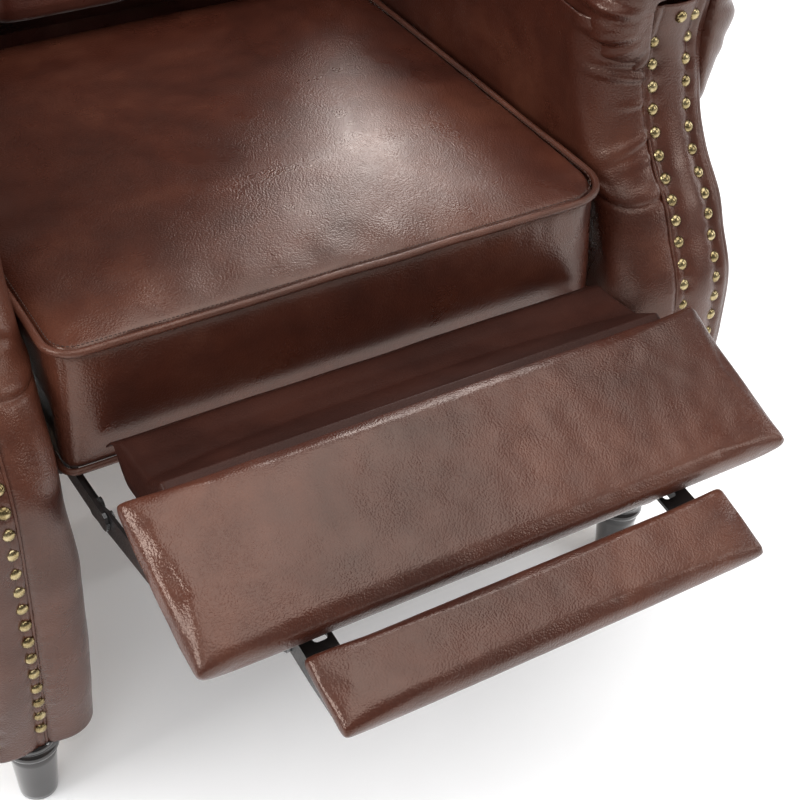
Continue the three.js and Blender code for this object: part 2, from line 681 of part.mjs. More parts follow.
for (const [label, side] of SIDES) {
  const layer = (n) => side * (linkOutside - n * (PLATE + PLAY));
  const inner = (n) => layer(n) - side * PLATE;
  // layer 0: plate on the seat rail
  const plateOutline = [
    [frontPivot[0] + 24, seatUnder - 3], [frontPivot[0] + 24, frontPivot[1] - 6],
    [frontPivot[0] + 12, frontPivot[1] - 14], [rearPivot[0] + 13, rearPivot[1] - 12],
    [rearPivot[0] - 11, rearPivot[1] - 10], [rearPivot[0] - 19, rearPivot[1] + 8],
    [frontPivot[0] - 90, railBase], [frontPivot[0] - 90, seatUnder - 3],
  ];
  const plate = sideExtrude(plateOutline, layer(0), inner(0), [circle(frontPivot, holeRadius)]);
  const rearStud = pin(rearPivot, PIN_RADIUS, inner(0) + side * 0.5, layer(3) - side * (PLATE + PLAY));
  const rearCap = pin(
    rearPivot,
    RIVET_RADIUS,
    layer(3) - side * (PLATE + PLAY),
    layer(3) - side * (PLATE + PLAY + RIVET_HEIGHT),
  );
  addNode(`footrest_side_plate_${label}`, union(plate, rearStud, rearCap), STEEL);

  // layer 1: front bar, pinned to the plate outside it and the carrier inside it
  const frontBar = sideExtrude(barOutline(frontPivot, frontEnd, BAR_WIDTH), layer(1), inner(1));
  const outPin = pin(frontPivot, PIN_RADIUS, inner(1), layer(0) + side * PLAY);
  const outCap = pin(frontPivot, RIVET_RADIUS, layer(0) + side * PLAY, layer(0) + side * 2.5);
  const inPin = pin(frontEnd, PIN_RADIUS, layer(1) - side * 1, inner(2) - side * PLAY);
  const inCap = pin(frontEnd, RIVET_RADIUS, inner(2) - side * PLAY, inner(2) - side * 2.5);
  addNode(`footrest_front_bar_${label}`, union(frontBar, outPin, outCap, inPin, inCap), STEEL);

  // layer 2: carrier plate that stays level
  const carrierOutline = [
    ...arcPoints(rearEnd, 9, 100, 260, 6),
    [frontEnd[0] + 8, frontEnd[1] - 12],
    [restPin[0] - 20, restPin[1] - 16],
    ...arcPoints(restPin, 9, -80, 80, 6),
    [frontEnd[0], frontEnd[1] + 9],
  ];
  const carrier = sideExtrude(carrierOutline, layer(2), inner(2), [
    circle(frontEnd, holeRadius),
    circle(restPin, holeRadius),
  ]);
  const carrierPin = pin(rearEnd, PIN_RADIUS, layer(2) - side * 1, inner(3) - side * PLAY);
  const carrierCap = pin(rearEnd, RIVET_RADIUS, inner(3) - side * PLAY, inner(3) - side * 2.5);
  addNode(`footrest_carrier_${label}`, union(carrier, carrierPin, carrierCap), STEEL);

  // layer 3: rear bar
  const rearBar = sideExtrude(barOutline(rearPivot, rearEnd, BAR_WIDTH), layer(3), inner(3), [
    circle(rearPivot, holeRadius),
    circle(rearEnd, holeRadius),
  ]);
  addNode(`footrest_rear_bar_${label}`, rearBar, STEEL);

  // layer 3 further forward: bracket under the footrest board, with a strap that runs inward
  // to the ear that carries the tip panel's arm
  const under = -(restThick + TOUCH);
  const webPoints = [
    [18, under - 3], [restHinge[0] - 20, restHinge[1] - 9], [restHinge[0] - 2, restHinge[1] - 10],
    [REST_DEPTH - 47, under - 12], [REST_DEPTH - 17, under - PLATE], [REST_DEPTH - 17, under],
    [18, under],
  ].map((point) => onBoard(restRear, REST_TILT, point));
  const web = sideExtrude(webPoints, layer(3), inner(3));
  const shelfPoints = [
    [18, under - PLATE], [REST_DEPTH - 17, under - PLATE], [REST_DEPTH - 17, under], [18, under],
  ].map((point) => onBoard(restRear, REST_TILT, point));
  const shelf = sideExtrude(shelfPoints, inner(3) + side * 1, inner(3) - side * 16);
  const earIn = side * (tipArmOut + PLAY);
  const earOut = earIn + side * PLATE;
  const strapPoints = [
    [REST_DEPTH - 37, under - PLATE], [REST_DEPTH - 17, under - PLATE],
    [REST_DEPTH - 17, under], [REST_DEPTH - 37, under],
  ].map((point) => onBoard(restRear, REST_TILT, point));
  const strap = sideExtrude(strapPoints, inner(3) - side * 15, earIn);
  const earPoints = [
    [REST_DEPTH - 37, under], [tipHinge[0] - 11, tipHinge[1] - 3], [tipHinge[0] - 6, tipHinge[1] - 9],
    [tipHinge[0] + 6, tipHinge[1] - 9], [tipHinge[0] + 11, tipHinge[1] - 3],
    [REST_DEPTH - 15, under - 8], [REST_DEPTH - 15, under],
  ].map((point) => onBoard(restRear, REST_TILT, point));
  const ear = sideExtrude(earPoints, earIn, earOut);
  const tipStud = pin(tipPin, PIN_RADIUS, earIn + side * 1, side * (tipArmOut - PLATE - PLAY));
  const tipCap = pin(
    tipPin,
    RIVET_RADIUS,
    side * (tipArmOut - PLATE - PLAY),
    side * (tipArmOut - PLATE - PLAY - RIVET_HEIGHT),
  );
  const restStud = pin(restPin, PIN_RADIUS, layer(3) - side * 1, layer(2) + side * PLAY);
  const restCap = pin(restPin, RIVET_RADIUS, layer(2) + side * PLAY, layer(2) + side * 2.5);
  addNode(
    `footrest_bracket_${label}`,
    union(web, shelf, strap, ear, tipStud, tipCap, restStud, restCap),
    STEEL,
  );
}

// ---- footrest board and pad ----
function tiltPiece(geometry, rear, tilt) {
  // local: X across, Y back along the board from its rear edge, Z above it
  geometry.rotateX(tilt * RAD);
  geometry.translate(0, -rear[0], rear[1]);
  return geometry;
}
const restPad = pad(restWidth, REST_DEPTH, REST_PAD, 10, 6);
restPad.translate(0, -REST_DEPTH / 2, -REST_PAD);
addNode("footrest_pad", tiltPiece(restPad, restRear, REST_TILT), LEATHER);
const restBoard = box(
  -restWidth / 2 + 8,
  restWidth / 2 - 8,
  -REST_DEPTH + 8,
  -8,
  -REST_PAD - REST_BOARD,
  -REST_PAD - TOUCH,
);
addNode("footrest_board", tiltPiece(restBoard, restRear, REST_TILT), TIMBER);

// ---- tip panel: pad and board ----
const tipPad = pad(TIP_WIDTH, TIP_DEPTH, TIP_PAD, 8, 5);
tipPad.translate(0, -TIP_DEPTH / 2, -TIP_PAD);
addNode("tip_pad", tiltPiece(tipPad, tipRear, TIP_TILT), LEATHER);
const tipBoard = box(
  -TIP_WIDTH / 2 + 8,
  TIP_WIDTH / 2 - 8,
  -TIP_DEPTH + 8,
  -8,
  -TIP_PAD - TIP_BOARD,
  -TIP_PAD - TOUCH,
);
addNode("tip_board", tiltPiece(tipBoard, tipRear, TIP_TILT), TIMBER);

// each tip arm is an angle: a plate on the ear's pin, and a slotted flange under the tip board
const tipUnder = -(TIP_PAD + TIP_BOARD + TOUCH);
for (const [label, side] of SIDES) {
  const onTip = (along, above) => onBoard(tipRear, TIP_TILT, [along, tipUnder + above]);
  const flangeRear = [tipPin[0] + 10, tipPin[1] + 10];
  const plate = sideExtrude(
    [
      ...arcPoints(tipPin, 8, 100, 290, 6),
      onTip(4, -22),
      onTip(TIP_DEPTH - 16, -10),
      onTip(TIP_DEPTH - 14, 0),
      onTip(8, 0),
      [flangeRear[0], flangeRear[1] + PLATE],
    ],
    side * tipArmOut,
    side * (tipArmOut - PLATE),
    [circle(tipPin, holeRadius)],
  );
  const flange = sideExtrude(
    [
      flangeRear,
      onTip(8, -PLATE),
      onTip(TIP_DEPTH - 14, -PLATE),
      onTip(TIP_DEPTH - 14, 0),
      onTip(8, 0),
      [flangeRear[0], flangeRear[1] + PLATE],
    ],
    side * (tipArmOut - 1),
    side * (tipArmOut - TIP_FLANGE),
  );
  const slot = new THREE.ExtrudeGeometry(shapeOf(roundedRect(12, 7, 3.4)), {
    depth: 40,
    bevelEnabled: false,
  });
  slot.translate(side * (tipArmOut - 17), -flangeRear[0] - 11, flangeRear[1] - 20);
  addNode(`tip_arm_${label}`, cut(union(plate, flange), slot), STEEL);
}

// ---- leather flap from the seat front to the footrest's rear edge ----
const flapRise = restRear[1] - 23;
const flapTop = [
  [6, flapRise - 20], [REST_AHEAD * 0.27, flapRise], [REST_AHEAD * 0.67, flapRise],
  [restRear[0] - 6.5, restRear[1] - 7],
];
const flapLow = flapTop.map(([f, z]) => [f + 0.5, z - FLAP_THICK]).reverse();
addNode("bridge_flap", sideExtrude([...flapLow, ...flapTop], -flapHalf, flapHalf), DARK_LEATHER);

// ---- back ----
// the back is drawn upright above its pivot, then raked
function rake(geometry) {
  geometry.rotateX(-BACK_RAKE * RAD);
  geometry.translate(0, backPivotY, backPivotZ);
  return geometry;
}
const backReach = (BACK_TOP - backPivotZ) / Math.cos(BACK_RAKE * RAD);
const postFront = -12;
const postRear = postFront + BACK_POST;
const frameTop = backReach - 42;
const cushionFace = postFront - TOUCH - BACK_CUSHION;
const cushionOutline = [
  [-postFront + TOUCH, BACK_FOOT], [-postFront + TOUCH, frameTop + 6], [-postRear - 2, frameTop + 6],
  [-postRear - 2, frameTop + 20], [-postRear + 6, frameTop + 33], [-postFront + 4, frameTop + 38],
  [-cushionFace - 40, frameTop + 36],
  [-cushionFace - 10, frameTop + 12], [-cushionFace, frameTop - 40],
  [-cushionFace, BACK_FOOT + 30], [-cushionFace - 14, BACK_FOOT + 6],
  [-cushionFace - 30, BACK_FOOT],
].reverse();
addNode("back_cushion", rake(sideExtrude(cushionOutline, -backHalf, backHalf)), LEATHER);

const postOuter = backHalf - 4;
const postInner = postOuter - 30;
const frameParts = [];
for (const side of [-1, 1]) {
  frameParts.push(box(side * postInner, side * postOuter, postFront, postRear, -28, frameTop));
}
for (const height of [20, 300, frameTop - 50]) {
  frameParts.push(box(-postInner - 1, postInner + 1, postFront, postRear, height, height + 50));
}
const pivotHole = new THREE.CylinderGeometry(6 + PIN_PLAY, 6 + PIN_PLAY, 2 * backHalf + 20, 24);
pivotHole.rotateZ(90 * RAD);
addNode("back_frame", rake(cut(union(...frameParts), pivotHole)), TIMBER);
addNode(
  "back_outer_panel",
  rake(box(
    -backHalf,
    backHalf,
    postRear + TOUCH,
    postRear + BACK_BOARD,
    -20,
    frameTop + 6 - TOUCH,
  )),
  LEATHER,
);
// pivot brackets on the arms, each with a fixed pin into the back's posts
for (const [label, side] of SIDES) {
  const plate = box(
    side * (ARM_INSIDE - TOUCH - PLATE),
    side * (ARM_INSIDE - TOUCH),
    backPivotY - 25,
    backPivotY + 20,
    backPivotZ - 45,
    backPivotZ + 20,
  );
  const stud = pin(
    [-backPivotY, backPivotZ],
    6,
    side * (ARM_INSIDE - TOUCH - PLATE + 0.5),
    side * (postInner + 4),
  );
  addNode(`back_pivot_bracket_${label}`, union(plate, stud), STEEL);
}

// ---- last step: put Y = 0 at the middle of the whole depth ----
group.updateMatrixWorld(true);
const whole = new THREE.Box3().setFromObject(group);
const shift = -(whole.min.y + whole.max.y) / 2;
for (const mesh of group.children) {
  mesh.geometry.translate(0, shift, 0);
}

export default group;
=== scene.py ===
"""Looks for the push-back recliner armchair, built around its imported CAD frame.

Metres, +Z up, the sitter faces -Y, X = 0 is the middle plane. Lengths named *_MM are millimetres.
"""

import math

import bmesh
import bpy
from mathutils import Matrix, Vector, noise


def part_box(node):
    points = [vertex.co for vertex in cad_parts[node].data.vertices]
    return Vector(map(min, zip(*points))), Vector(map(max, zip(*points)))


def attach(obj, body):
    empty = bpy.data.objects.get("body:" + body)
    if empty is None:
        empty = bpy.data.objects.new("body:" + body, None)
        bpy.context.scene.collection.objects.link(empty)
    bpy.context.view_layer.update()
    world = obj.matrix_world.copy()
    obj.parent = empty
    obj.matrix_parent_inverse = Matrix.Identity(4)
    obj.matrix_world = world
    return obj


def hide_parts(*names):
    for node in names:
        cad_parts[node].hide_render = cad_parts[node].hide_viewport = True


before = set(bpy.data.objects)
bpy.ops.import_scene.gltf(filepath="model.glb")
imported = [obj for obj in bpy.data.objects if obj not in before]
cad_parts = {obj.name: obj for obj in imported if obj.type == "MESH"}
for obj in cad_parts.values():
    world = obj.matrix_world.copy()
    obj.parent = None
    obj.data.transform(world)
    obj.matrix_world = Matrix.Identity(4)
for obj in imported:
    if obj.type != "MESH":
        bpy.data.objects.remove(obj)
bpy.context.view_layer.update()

MM = 0.001
SIDES = (("left", -1), ("right", 1))

# ---- places taken from the frame ----
seat_low, seat_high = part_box("seat_cushion")
SEAT_FRONT = seat_low.y
SEAT_REAR = seat_high.y
SEAT_HALF = seat_high.x
SEAT_BASE = seat_low.z
SEAT_TOP = seat_high.z
SEAT_WELT = SEAT_TOP - 20 * MM
panel_low, panel_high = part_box("arm_inside_panel_right")
ARM_INSIDE = panel_low.x
ARM_REAR = panel_high.y
ARM_BASE = panel_low.z
face_low, face_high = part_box("arm_front_panel_right")
FACE_IN = face_low.x
FACE_OUT = face_high.x
FACE_TOP = face_high.z
ARM_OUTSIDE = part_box("arm_outside_panel_right")[1].x
roll_low, roll_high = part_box("arm_roll_right")
ROLL_X = (roll_low.x + roll_high.x) / 2
ROLL_R = (roll_high.x - roll_low.x) / 2
ROLL_Z = roll_high.z - ROLL_R
rest_low, rest_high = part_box("footrest_pad")
tip_low, tip_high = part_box("tip_pad")
FLAP_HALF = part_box("bridge_flap")[1].x
BACK_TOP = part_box("back_cushion")[1].z

# how far the cloth may swell, then the two boards of the footrest
SEAT_SWELL = 9 * MM
BOARD_SWELL = 1.8 * MM
BOARD_CROWN = 2 * MM
REST_DEPTH = 147 * MM
REST_THICK = 33 * MM
REST_EDGE = 9 * MM
REST_PROUD = 5 * MM
TIP_DEPTH = 67 * MM
TIP_THICK = 27 * MM
TIP_EDGE = 8 * MM
REST_TILT = math.radians(19.65)
TIP_TILT = math.radians(16.5)
BACK_RAKE = math.radians(9)


# ---- small helpers ----
def clamp(value, low=0.0, high=1.0):
    return max(low, min(high, value))


def smooth(value, low, high):
    t = clamp((value - low) / (high - low))
    return t * t * (3 - 2 * t)


def bump(value, centre, width):
    """1 at the centre, easing to 0 at one width away."""
    t = abs(value - centre) / width
    return 0.0 if t >= 1 else (1 - t * t) ** 2


def wander(point, scale, seed=0.0):
    """Smooth noise from -1 to 1 at a place."""
    return noise.noise(Vector(point) * scale + Vector((seed, seed * 1.7, -seed)))


def along_curve(stations, t):
    """A smooth curve through stations of (a, b), with t from 0 to 1."""
    place = clamp(t) * (len(stations) - 1)
    i = min(int(place), len(stations) - 2)
    s = place - i
    before, start = stations[max(0, i - 1)], stations[i]
    end, after = stations[i + 1], stations[min(len(stations) - 1, i + 2)]
    return tuple(
        b + 0.5 * s * (c - a + s * (2 * a - 5 * b + 4 * c - d + s * (3 * (b - c) + d - a)))
        for a, b, c, d in zip(before, start, end, after)
    )


def along_lines(stations, t):
    """Straight runs through stations of (a, b), with t from 0 to 1."""
    place = t * (len(stations) - 1)
    i = min(int(place), len(stations) - 2)
    s = place - i
    return tuple(a + (b - a) * s for a, b in zip(stations[i], stations[i + 1]))


def rounded_rim(u, v):
    """0 at the rim of a sheet, rising quickly to 1 inside it."""
    return min(1, 8 * min(u, 1 - u), 8 * min(v, 1 - v)) ** 0.5


def shade_smooth(mesh_data):
    for polygon in mesh_data.polygons:
        polygon.use_smooth = True


def new_object(name, mesh_data):
    made = bpy.data.objects.new(name, mesh_data)
    bpy.context.scene.collection.objects.link(made)
    return made


def finish_bmesh(name, bm, merge=0.0, recalc=True):
    if merge:
        bmesh.ops.remove_doubles(bm, verts=bm.verts, dist=merge)
    if recalc:
        bmesh.ops.recalc_face_normals(bm, faces=bm.faces)
    data = bpy.data.meshes.new(name)
    bm.to_mesh(data)
    bm.free()
    shade_smooth(data)
    return new_object(name, data)


def dress(obj, body, material, slot, *nodes):
    obj.data.materials.clear()
    obj.data.materials.append(material)
    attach(obj, body)
    if nodes:
        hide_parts(*nodes)
    return obj


def apply_modifiers(obj):
    graph = bpy.context.evaluated_depsgraph_get()
    fresh = bpy.data.meshes.new_from_object(obj.evaluated_get(graph))
    old = obj.data
    obj.modifiers.clear()
    obj.data = fresh
    if old.users == 0:
        bpy.data.meshes.remove(old)
    shade_smooth(obj.data)
    return obj


def add_subsurf(obj, levels=1):
    modifier = obj.modifiers.new("subdivision", "SUBSURF")
    modifier.levels = levels
    modifier.render_levels = levels
    return obj


def remesh(obj, size):
    modifier = obj.modifiers.new("remesh", "REMESH")
    modifier.mode = "VOXEL"
    modifier.voxel_size = size
    return apply_modifiers(obj)


def move_points(obj, move):
    """Every vertex goes where move(point) says."""
    for vertex in obj.data.vertices:
        vertex.co = move(vertex.co.copy())
    obj.data.update()


def relax(obj, rounds, factor=0.5):
    bm = bmesh.new()
    bm.from_mesh(obj.data)
    for _ in range(rounds):
        bmesh.ops.smooth_vert(
            bm, verts=bm.verts, factor=factor, use_axis_x=True, use_axis_y=True, use_axis_z=True
        )
    bm.to_mesh(obj.data)
    bm.free()


CLOTH_STIFFNESS = 15.0


def inflate(obj, held, cap, pressure=4.0, frames=20):
    """Swells a closed skin by cloth pressure; points where held(point) is true stay put."""
    start = [v.co.copy() for v in obj.data.vertices]
    group = obj.vertex_groups.new(name="held")
    for i, co in enumerate(start):
        weight = held(co)
        if weight > 0:
            group.add([i], weight, "REPLACE")
    modifier = obj.modifiers.new("cloth", "CLOTH")
    settings = modifier.settings
    settings.quality = 5
    settings.mass = 0.3
    settings.tension_stiffness = CLOTH_STIFFNESS
    settings.compression_stiffness = CLOTH_STIFFNESS
    settings.shear_stiffness = CLOTH_STIFFNESS * 0.6
    settings.bending_stiffness = 0.6
    settings.use_pressure = True
    settings.uniform_pressure_force = pressure
    settings.vertex_group_mass = "held"
    settings.pin_stiffness = 1.0
    settings.effector_weights.gravity = 0.0
    modifier.collision_settings.use_collision = False
    modifier.collision_settings.use_self_collision = False
    scene = bpy.context.scene
    scene.frame_start = 1
    scene.frame_end = frames
    for step in range(1, frames + 1):
        scene.frame_set(step)
    apply_modifiers(obj)
    scene.frame_set(1)
    for vertex, rest in zip(obj.data.vertices, start):
        move = vertex.co - rest
        if move.length > cap:
            vertex.co = rest + move.normalized() * cap
    obj.vertex_groups.clear()
    return obj


def tube(name, points, radius, sides):
    """A round cord along points, as a mesh."""
    data = bpy.data.curves.new(name, "CURVE")
    data.dimensions = "3D"
    data.bevel_depth = radius
    data.bevel_resolution = max(1, sides // 4)
    data.use_fill_caps = True
    spline = data.splines.new("POLY")
    spline.points.add(len(points) - 1)
    for slot, point in zip(spline.points, points):
        slot.co = (*point, 1.0)
    holder = new_object(name + "_line", data)
    graph = bpy.context.evaluated_depsgraph_get()
    mesh_data = bpy.data.meshes.new_from_object(holder.evaluated_get(graph))
    bpy.data.objects.remove(holder)
    mesh_data.name = name
    shade_smooth(mesh_data)
    return new_object(name, mesh_data)


def join(name, parts):
    bm = bmesh.new()
    for part in parts:
        bm.from_mesh(part.data)
        bpy.data.objects.remove(part)
    data = bpy.data.meshes.new(name)
    bm.to_mesh(data)
    bm.free()
    shade_smooth(data)
    return new_object(name, data)


def add_wall(obj, thickness=1.6 * MM):
    """Gives a sheet its thickness, inwards."""
    modifier = obj.modifiers.new("wall", "SOLIDIFY")
    modifier.thickness = thickness
    modifier.offset = -1.0
    return apply_modifiers(obj)


def grid_piece(name, columns, rows, place):
    """A sheet laid out by place(u, v), u and v from 0 to 1, with a UV map in the same sense."""
    bm = bmesh.new()
    bmesh.ops.create_grid(bm, x_segments=columns, y_segments=rows, size=0.5)
    layer = bm.loops.layers.uv.new("UVMap")
    for face in bm.faces:
        for loop in face.loops:
            loop[layer].uv = (loop.vert.co.x + 0.5, loop.vert.co.y + 0.5)
    for v in bm.verts:
        v.co = place(v.co.x + 0.5, v.co.y + 0.5)
    return finish_bmesh(name, bm, recalc=False)


# ---- materials ----
def socket(tree, name, kind, default=None, out=False):
    made = tree.interface.new_socket(
        name=name, in_out="OUTPUT" if out else "INPUT", socket_type=kind
    )
    if default is not None:
        made.default_value = default
    return made


def node(tree, kind, **values):
    made = tree.nodes.new(kind)
    for key, value in values.items():
        setattr(made, key, value)
    return made


def ramp(tree, stops, source):
    made = node(tree, "ShaderNodeValToRGB")
    elements = made.color_ramp.elements
    while len(elements) < len(stops):
        elements.new(0.5)
    for element, (place, colour) in zip(elements, stops):
        element.position = place
        element.color = (*colour, 1.0)
    tree.links.new(source, made.inputs["Fac"])
    return made.outputs["Color"]


def maths(tree, operation, a, b):
    made = node(tree, "ShaderNodeMath", operation=operation)
    for place, value in ((0, a), (1, b)):
        if isinstance(value, (int, float)):
            made.inputs[place].default_value = value
        else:
            tree.links.new(value, made.inputs[place])
    return made.outputs[0]


def pattern(tree, vector, scale, detail=3.0, rough=0.55, distort=0.0):
    made = node(tree, "ShaderNodeTexNoise")
    made.inputs["Scale"].default_value = scale
    made.inputs["Detail"].default_value = detail
    made.inputs["Roughness"].default_value = rough
    made.inputs["Distortion"].default_value = distort
    tree.links.new(vector, made.inputs["Vector"])
    return made.outputs["Fac"]


def span(tree, source, low, high, out_low, out_high):
    """A value from low to high becomes one from out_low to out_high."""
    made = node(tree, "ShaderNodeMapRange")
    made.inputs["From Min"].default_value = low
    made.inputs["From Max"].default_value = high
    made.inputs["To Min"].default_value = out_low
    made.inputs["To Max"].default_value = out_high
    tree.links.new(source, made.inputs["Value"])
    return made.outputs["Result"]


def new_material(name):
    """An empty material, with its node tree and the Object coordinates."""
    made = bpy.data.materials.new(name)
    made.use_nodes = True
    tree = made.node_tree
    tree.nodes.clear()
    return made, tree, node(tree, "ShaderNodeTexCoord").outputs["Object"]


def finish_shader(tree, colour, roughness, height, depth, distance):
    """A Principled shader with its colour, roughness and relief joined up."""
    relief = node(tree, "ShaderNodeBump")
    relief.inputs["Strength"].default_value = depth
    relief.inputs["Distance"].default_value = distance
    tree.links.new(height, relief.inputs["Height"])
    shader = node(tree, "ShaderNodeBsdfPrincipled")
    tree.links.new(colour, shader.inputs["Base Color"])
    tree.links.new(roughness, shader.inputs["Roughness"])
    tree.links.new(relief.outputs["Normal"], shader.inputs["Normal"])
    out = node(tree, "ShaderNodeOutputMaterial")
    tree.links.new(shader.outputs["BSDF"], out.inputs["Surface"])
    return shader


def leather_group():
    """Grain height, mottled tone and gloss wear of finished hide, in metres of Object coordinates."""
    tree = bpy.data.node_groups.new("hide_finish", "ShaderNodeTree")
    socket(tree, "Vector", "NodeSocketVector")
    socket(tree, "Grain Scale", "NodeSocketFloat", 620.0)
    socket(tree, "Height", "NodeSocketFloat", out=True)
    socket(tree, "Tone", "NodeSocketFloat", out=True)
    socket(tree, "Gloss", "NodeSocketFloat", out=True)
    entry = node(tree, "NodeGroupInput")
    leave = node(tree, "NodeGroupOutput")
    vector = entry.outputs["Vector"]
    # slightly warped pebbles
    warp = node(tree, "ShaderNodeTexNoise")
    warp.inputs["Scale"].default_value = 180.0
    warp.inputs["Detail"].default_value = 2.0
    tree.links.new(vector, warp.inputs["Vector"])
    shift = node(tree, "ShaderNodeVectorMath", operation="MULTIPLY_ADD")
    shift.inputs[1].default_value = (0.0016, 0.0016, 0.0016)
    tree.links.new(warp.outputs["Color"], shift.inputs[0])
    tree.links.new(vector, shift.inputs[2])
    cells = node(tree, "ShaderNodeTexVoronoi", feature="SMOOTH_F1")
    cells.inputs["Smoothness"].default_value = 0.3
    tree.links.new(shift.outputs[0], cells.inputs["Vector"])
    tree.links.new(entry.outputs["Grain Scale"], cells.inputs["Scale"])
    pebbles = maths(tree, "SUBTRACT", 1.0, cells.outputs["Distance"])
    # the grain is strong in some areas and almost flat in others
    patches = pattern(tree, vector, 14.0, 2.0)
    grain = maths(tree, "MULTIPLY", pebbles, span(tree, patches, 0.36, 0.64, 0.5, 1.15))
    creases = pattern(tree, vector, 90.0, 4.0, 0.55, 0.4)
    folds = pattern(tree, vector, 20.0, 2.0, 0.5, 0.3)
    height = maths(tree, "ADD", grain, maths(tree, "MULTIPLY", creases, 0.3))
    height = maths(tree, "ADD", height, maths(tree, "MULTIPLY", folds, 0.35))
    tree.links.new(height, leave.inputs["Height"])
    cloudy = pattern(tree, vector, 5.5, 4.0, 0.6, 0.5)
    fleck = pattern(tree, vector, 34.0, 3.0, 0.6)
    tone = maths(tree, "ADD", maths(tree, "MULTIPLY", cloudy, 0.78), maths(tree, "MULTIPLY", fleck, 0.22))
    valley = maths(tree, "MULTIPLY", cells.outputs["Distance"], 0.07)
    tree.links.new(maths(tree, "SUBTRACT", tone, valley), leave.inputs["Tone"])
    rub = pattern(tree, vector, 18.0, 3.0, 0.6, 0.4)
    tree.links.new(rub, leave.inputs["Gloss"])
    return tree


HIDE = leather_group()


def leather(name, dark, middle, light, low_gloss=0.27, high_gloss=0.4, grain=620.0, depth=0.5, shine=0.5):
    made, tree, place = new_material(name)
    hide = node(tree, "ShaderNodeGroup")
    hide.node_tree = HIDE
    hide.inputs["Grain Scale"].default_value = grain
    tree.links.new(place, hide.inputs["Vector"])
    colour = ramp(tree, ((0.28, dark), (0.46, middle), (0.66, light)), hide.outputs["Tone"])
    gloss = span(tree, hide.outputs["Gloss"], 0.35, 0.65, low_gloss, high_gloss)
    shader = finish_shader(tree, colour, gloss, hide.outputs["Height"], depth, 0.7 * MM)
    shader.inputs["Specular IOR Level"].default_value = shine
    shader.inputs["Specular Tint"].default_value = (1.0, 0.78, 0.66, 1.0)
    shader.inputs["Coat Weight"].default_value = 0.08
    shader.inputs["Coat Roughness"].default_value = 0.25
    return made


def plain_finish(name, colours, rough, metal=0.0, scale=40.0, depth=0.1, coat=0.0, stretch=(1, 1, 1)):
    """Painted, plated or timber finish: tone, roughness and fine relief from stretched noise."""
    made, tree, place = new_material(name)
    turn = node(tree, "ShaderNodeMapping")
    turn.inputs["Scale"].default_value = stretch
    tree.links.new(place, turn.inputs["Vector"])
    vector = turn.outputs["Vector"]
    broad = pattern(tree, vector, scale, 4.0, 0.6, 0.5)
    fine = pattern(tree, vector, scale * 9, 3.0, 0.6)
    mix = maths(tree, "ADD", maths(tree, "MULTIPLY", broad, 0.7), maths(tree, "MULTIPLY", fine, 0.3))
    colour = ramp(tree, tuple(zip((0.35, 0.5, 0.65), colours)), mix)
    roughness = span(tree, fine, 0.35, 0.65, *rough)
    shader = finish_shader(tree, colour, roughness, mix, depth, 0.4 * MM)
    shader.inputs["Metallic"].default_value = metal
    shader.inputs["Coat Weight"].default_value = coat
    shader.inputs["Coat Roughness"].default_value = 0.08
    return made


BROWN = leather("brown_hide", (0.024, 0.006, 0.0038), (0.047, 0.0125, 0.0072), (0.082, 0.026, 0.0145),
                low_gloss=0.26, high_gloss=0.36, depth=0.42, shine=0.55)
PIPING = leather("piping_hide", (0.03, 0.009, 0.006), (0.055, 0.017, 0.010), (0.09, 0.03, 0.018), grain=900.0)
# a darker, duller copy of the brown hide: painted shade for the flap, which lies in the seat's shadow
SHADED = leather("shaded_flap_hide", (0.015, 0.004, 0.0027), (0.024, 0.0068, 0.0046), (0.038, 0.0115, 0.0075),
                 low_gloss=0.5, high_gloss=0.62, shine=0.15)
# a second copy of the brown hide, kept as its shaded version: painted shade on the back cushion, its buttons
# and the covered rails
PAINTED_SHADE_HIDE = leather("shaded_hide", (0.028, 0.007, 0.005), (0.05, 0.013, 0.009), (0.085, 0.025, 0.016))
BLACK_STEEL = plain_finish(
    "black_painted_steel", ((0.006, 0.006, 0.006), (0.011, 0.010, 0.010), (0.02, 0.018, 0.017)),
    (0.28, 0.45), coat=0.3, scale=60.0)
ANTIQUE_BRASS = plain_finish(
    "antique_brass", ((0.14, 0.10, 0.045), (0.32, 0.25, 0.125), (0.52, 0.43, 0.25)),
    (0.2, 0.34), metal=1.0, scale=110.0, depth=0.15)
TIMBER = plain_finish(
    "frame_timber", ((0.30, 0.19, 0.10), (0.42, 0.28, 0.155), (0.52, 0.36, 0.21)),
    (0.55, 0.75), scale=14.0, depth=0.4, stretch=(4, 0.4, 4))
ESPRESSO = plain_finish(
    "espresso_lacquer", ((0.004, 0.0025, 0.002), (0.008, 0.0045, 0.0035), (0.015, 0.008, 0.006)),
    (0.12, 0.2), coat=0.8, scale=25.0, depth=0.05, stretch=(3, 3, 0.5))
SPRING = plain_finish(
    "oiled_spring_steel", ((0.16, 0.16, 0.17), (0.25, 0.25, 0.26), (0.36, 0.36, 0.37)),
    (0.3, 0.45), metal=1.0, scale=90.0)
THREAD = plain_finish(
    "waxed_thread", ((0.03, 0.012, 0.008), (0.05, 0.02, 0.012), (0.07, 0.03, 0.02)),
    (0.5, 0.65), scale=400.0, depth=0.5)

COVERED_RAILS = (
    "back_frame", "seat_side_rail_left", "seat_side_rail_right", "seat_front_rail", "seat_rear_rail",
)

for name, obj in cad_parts.items():
    if name.startswith("seat_spring"):
        finish = SPRING
    elif name in COVERED_RAILS:
        # the covered rails take the hide copy with painted shade
        finish = PAINTED_SHADE_HIDE
    elif any(word in name for word in ("_post_", "_rail", "_board")):
        finish = TIMBER
    elif name.startswith("leg_"):
        finish = ESPRESSO
    elif any(word in name for word in ("bracket", "plate", "_bar_", "carrier", "tip_arm", "track")):
        finish = BLACK_STEEL
    else:
        finish = BROWN
    obj.data.materials.clear()
    obj.data.materials.append(finish)

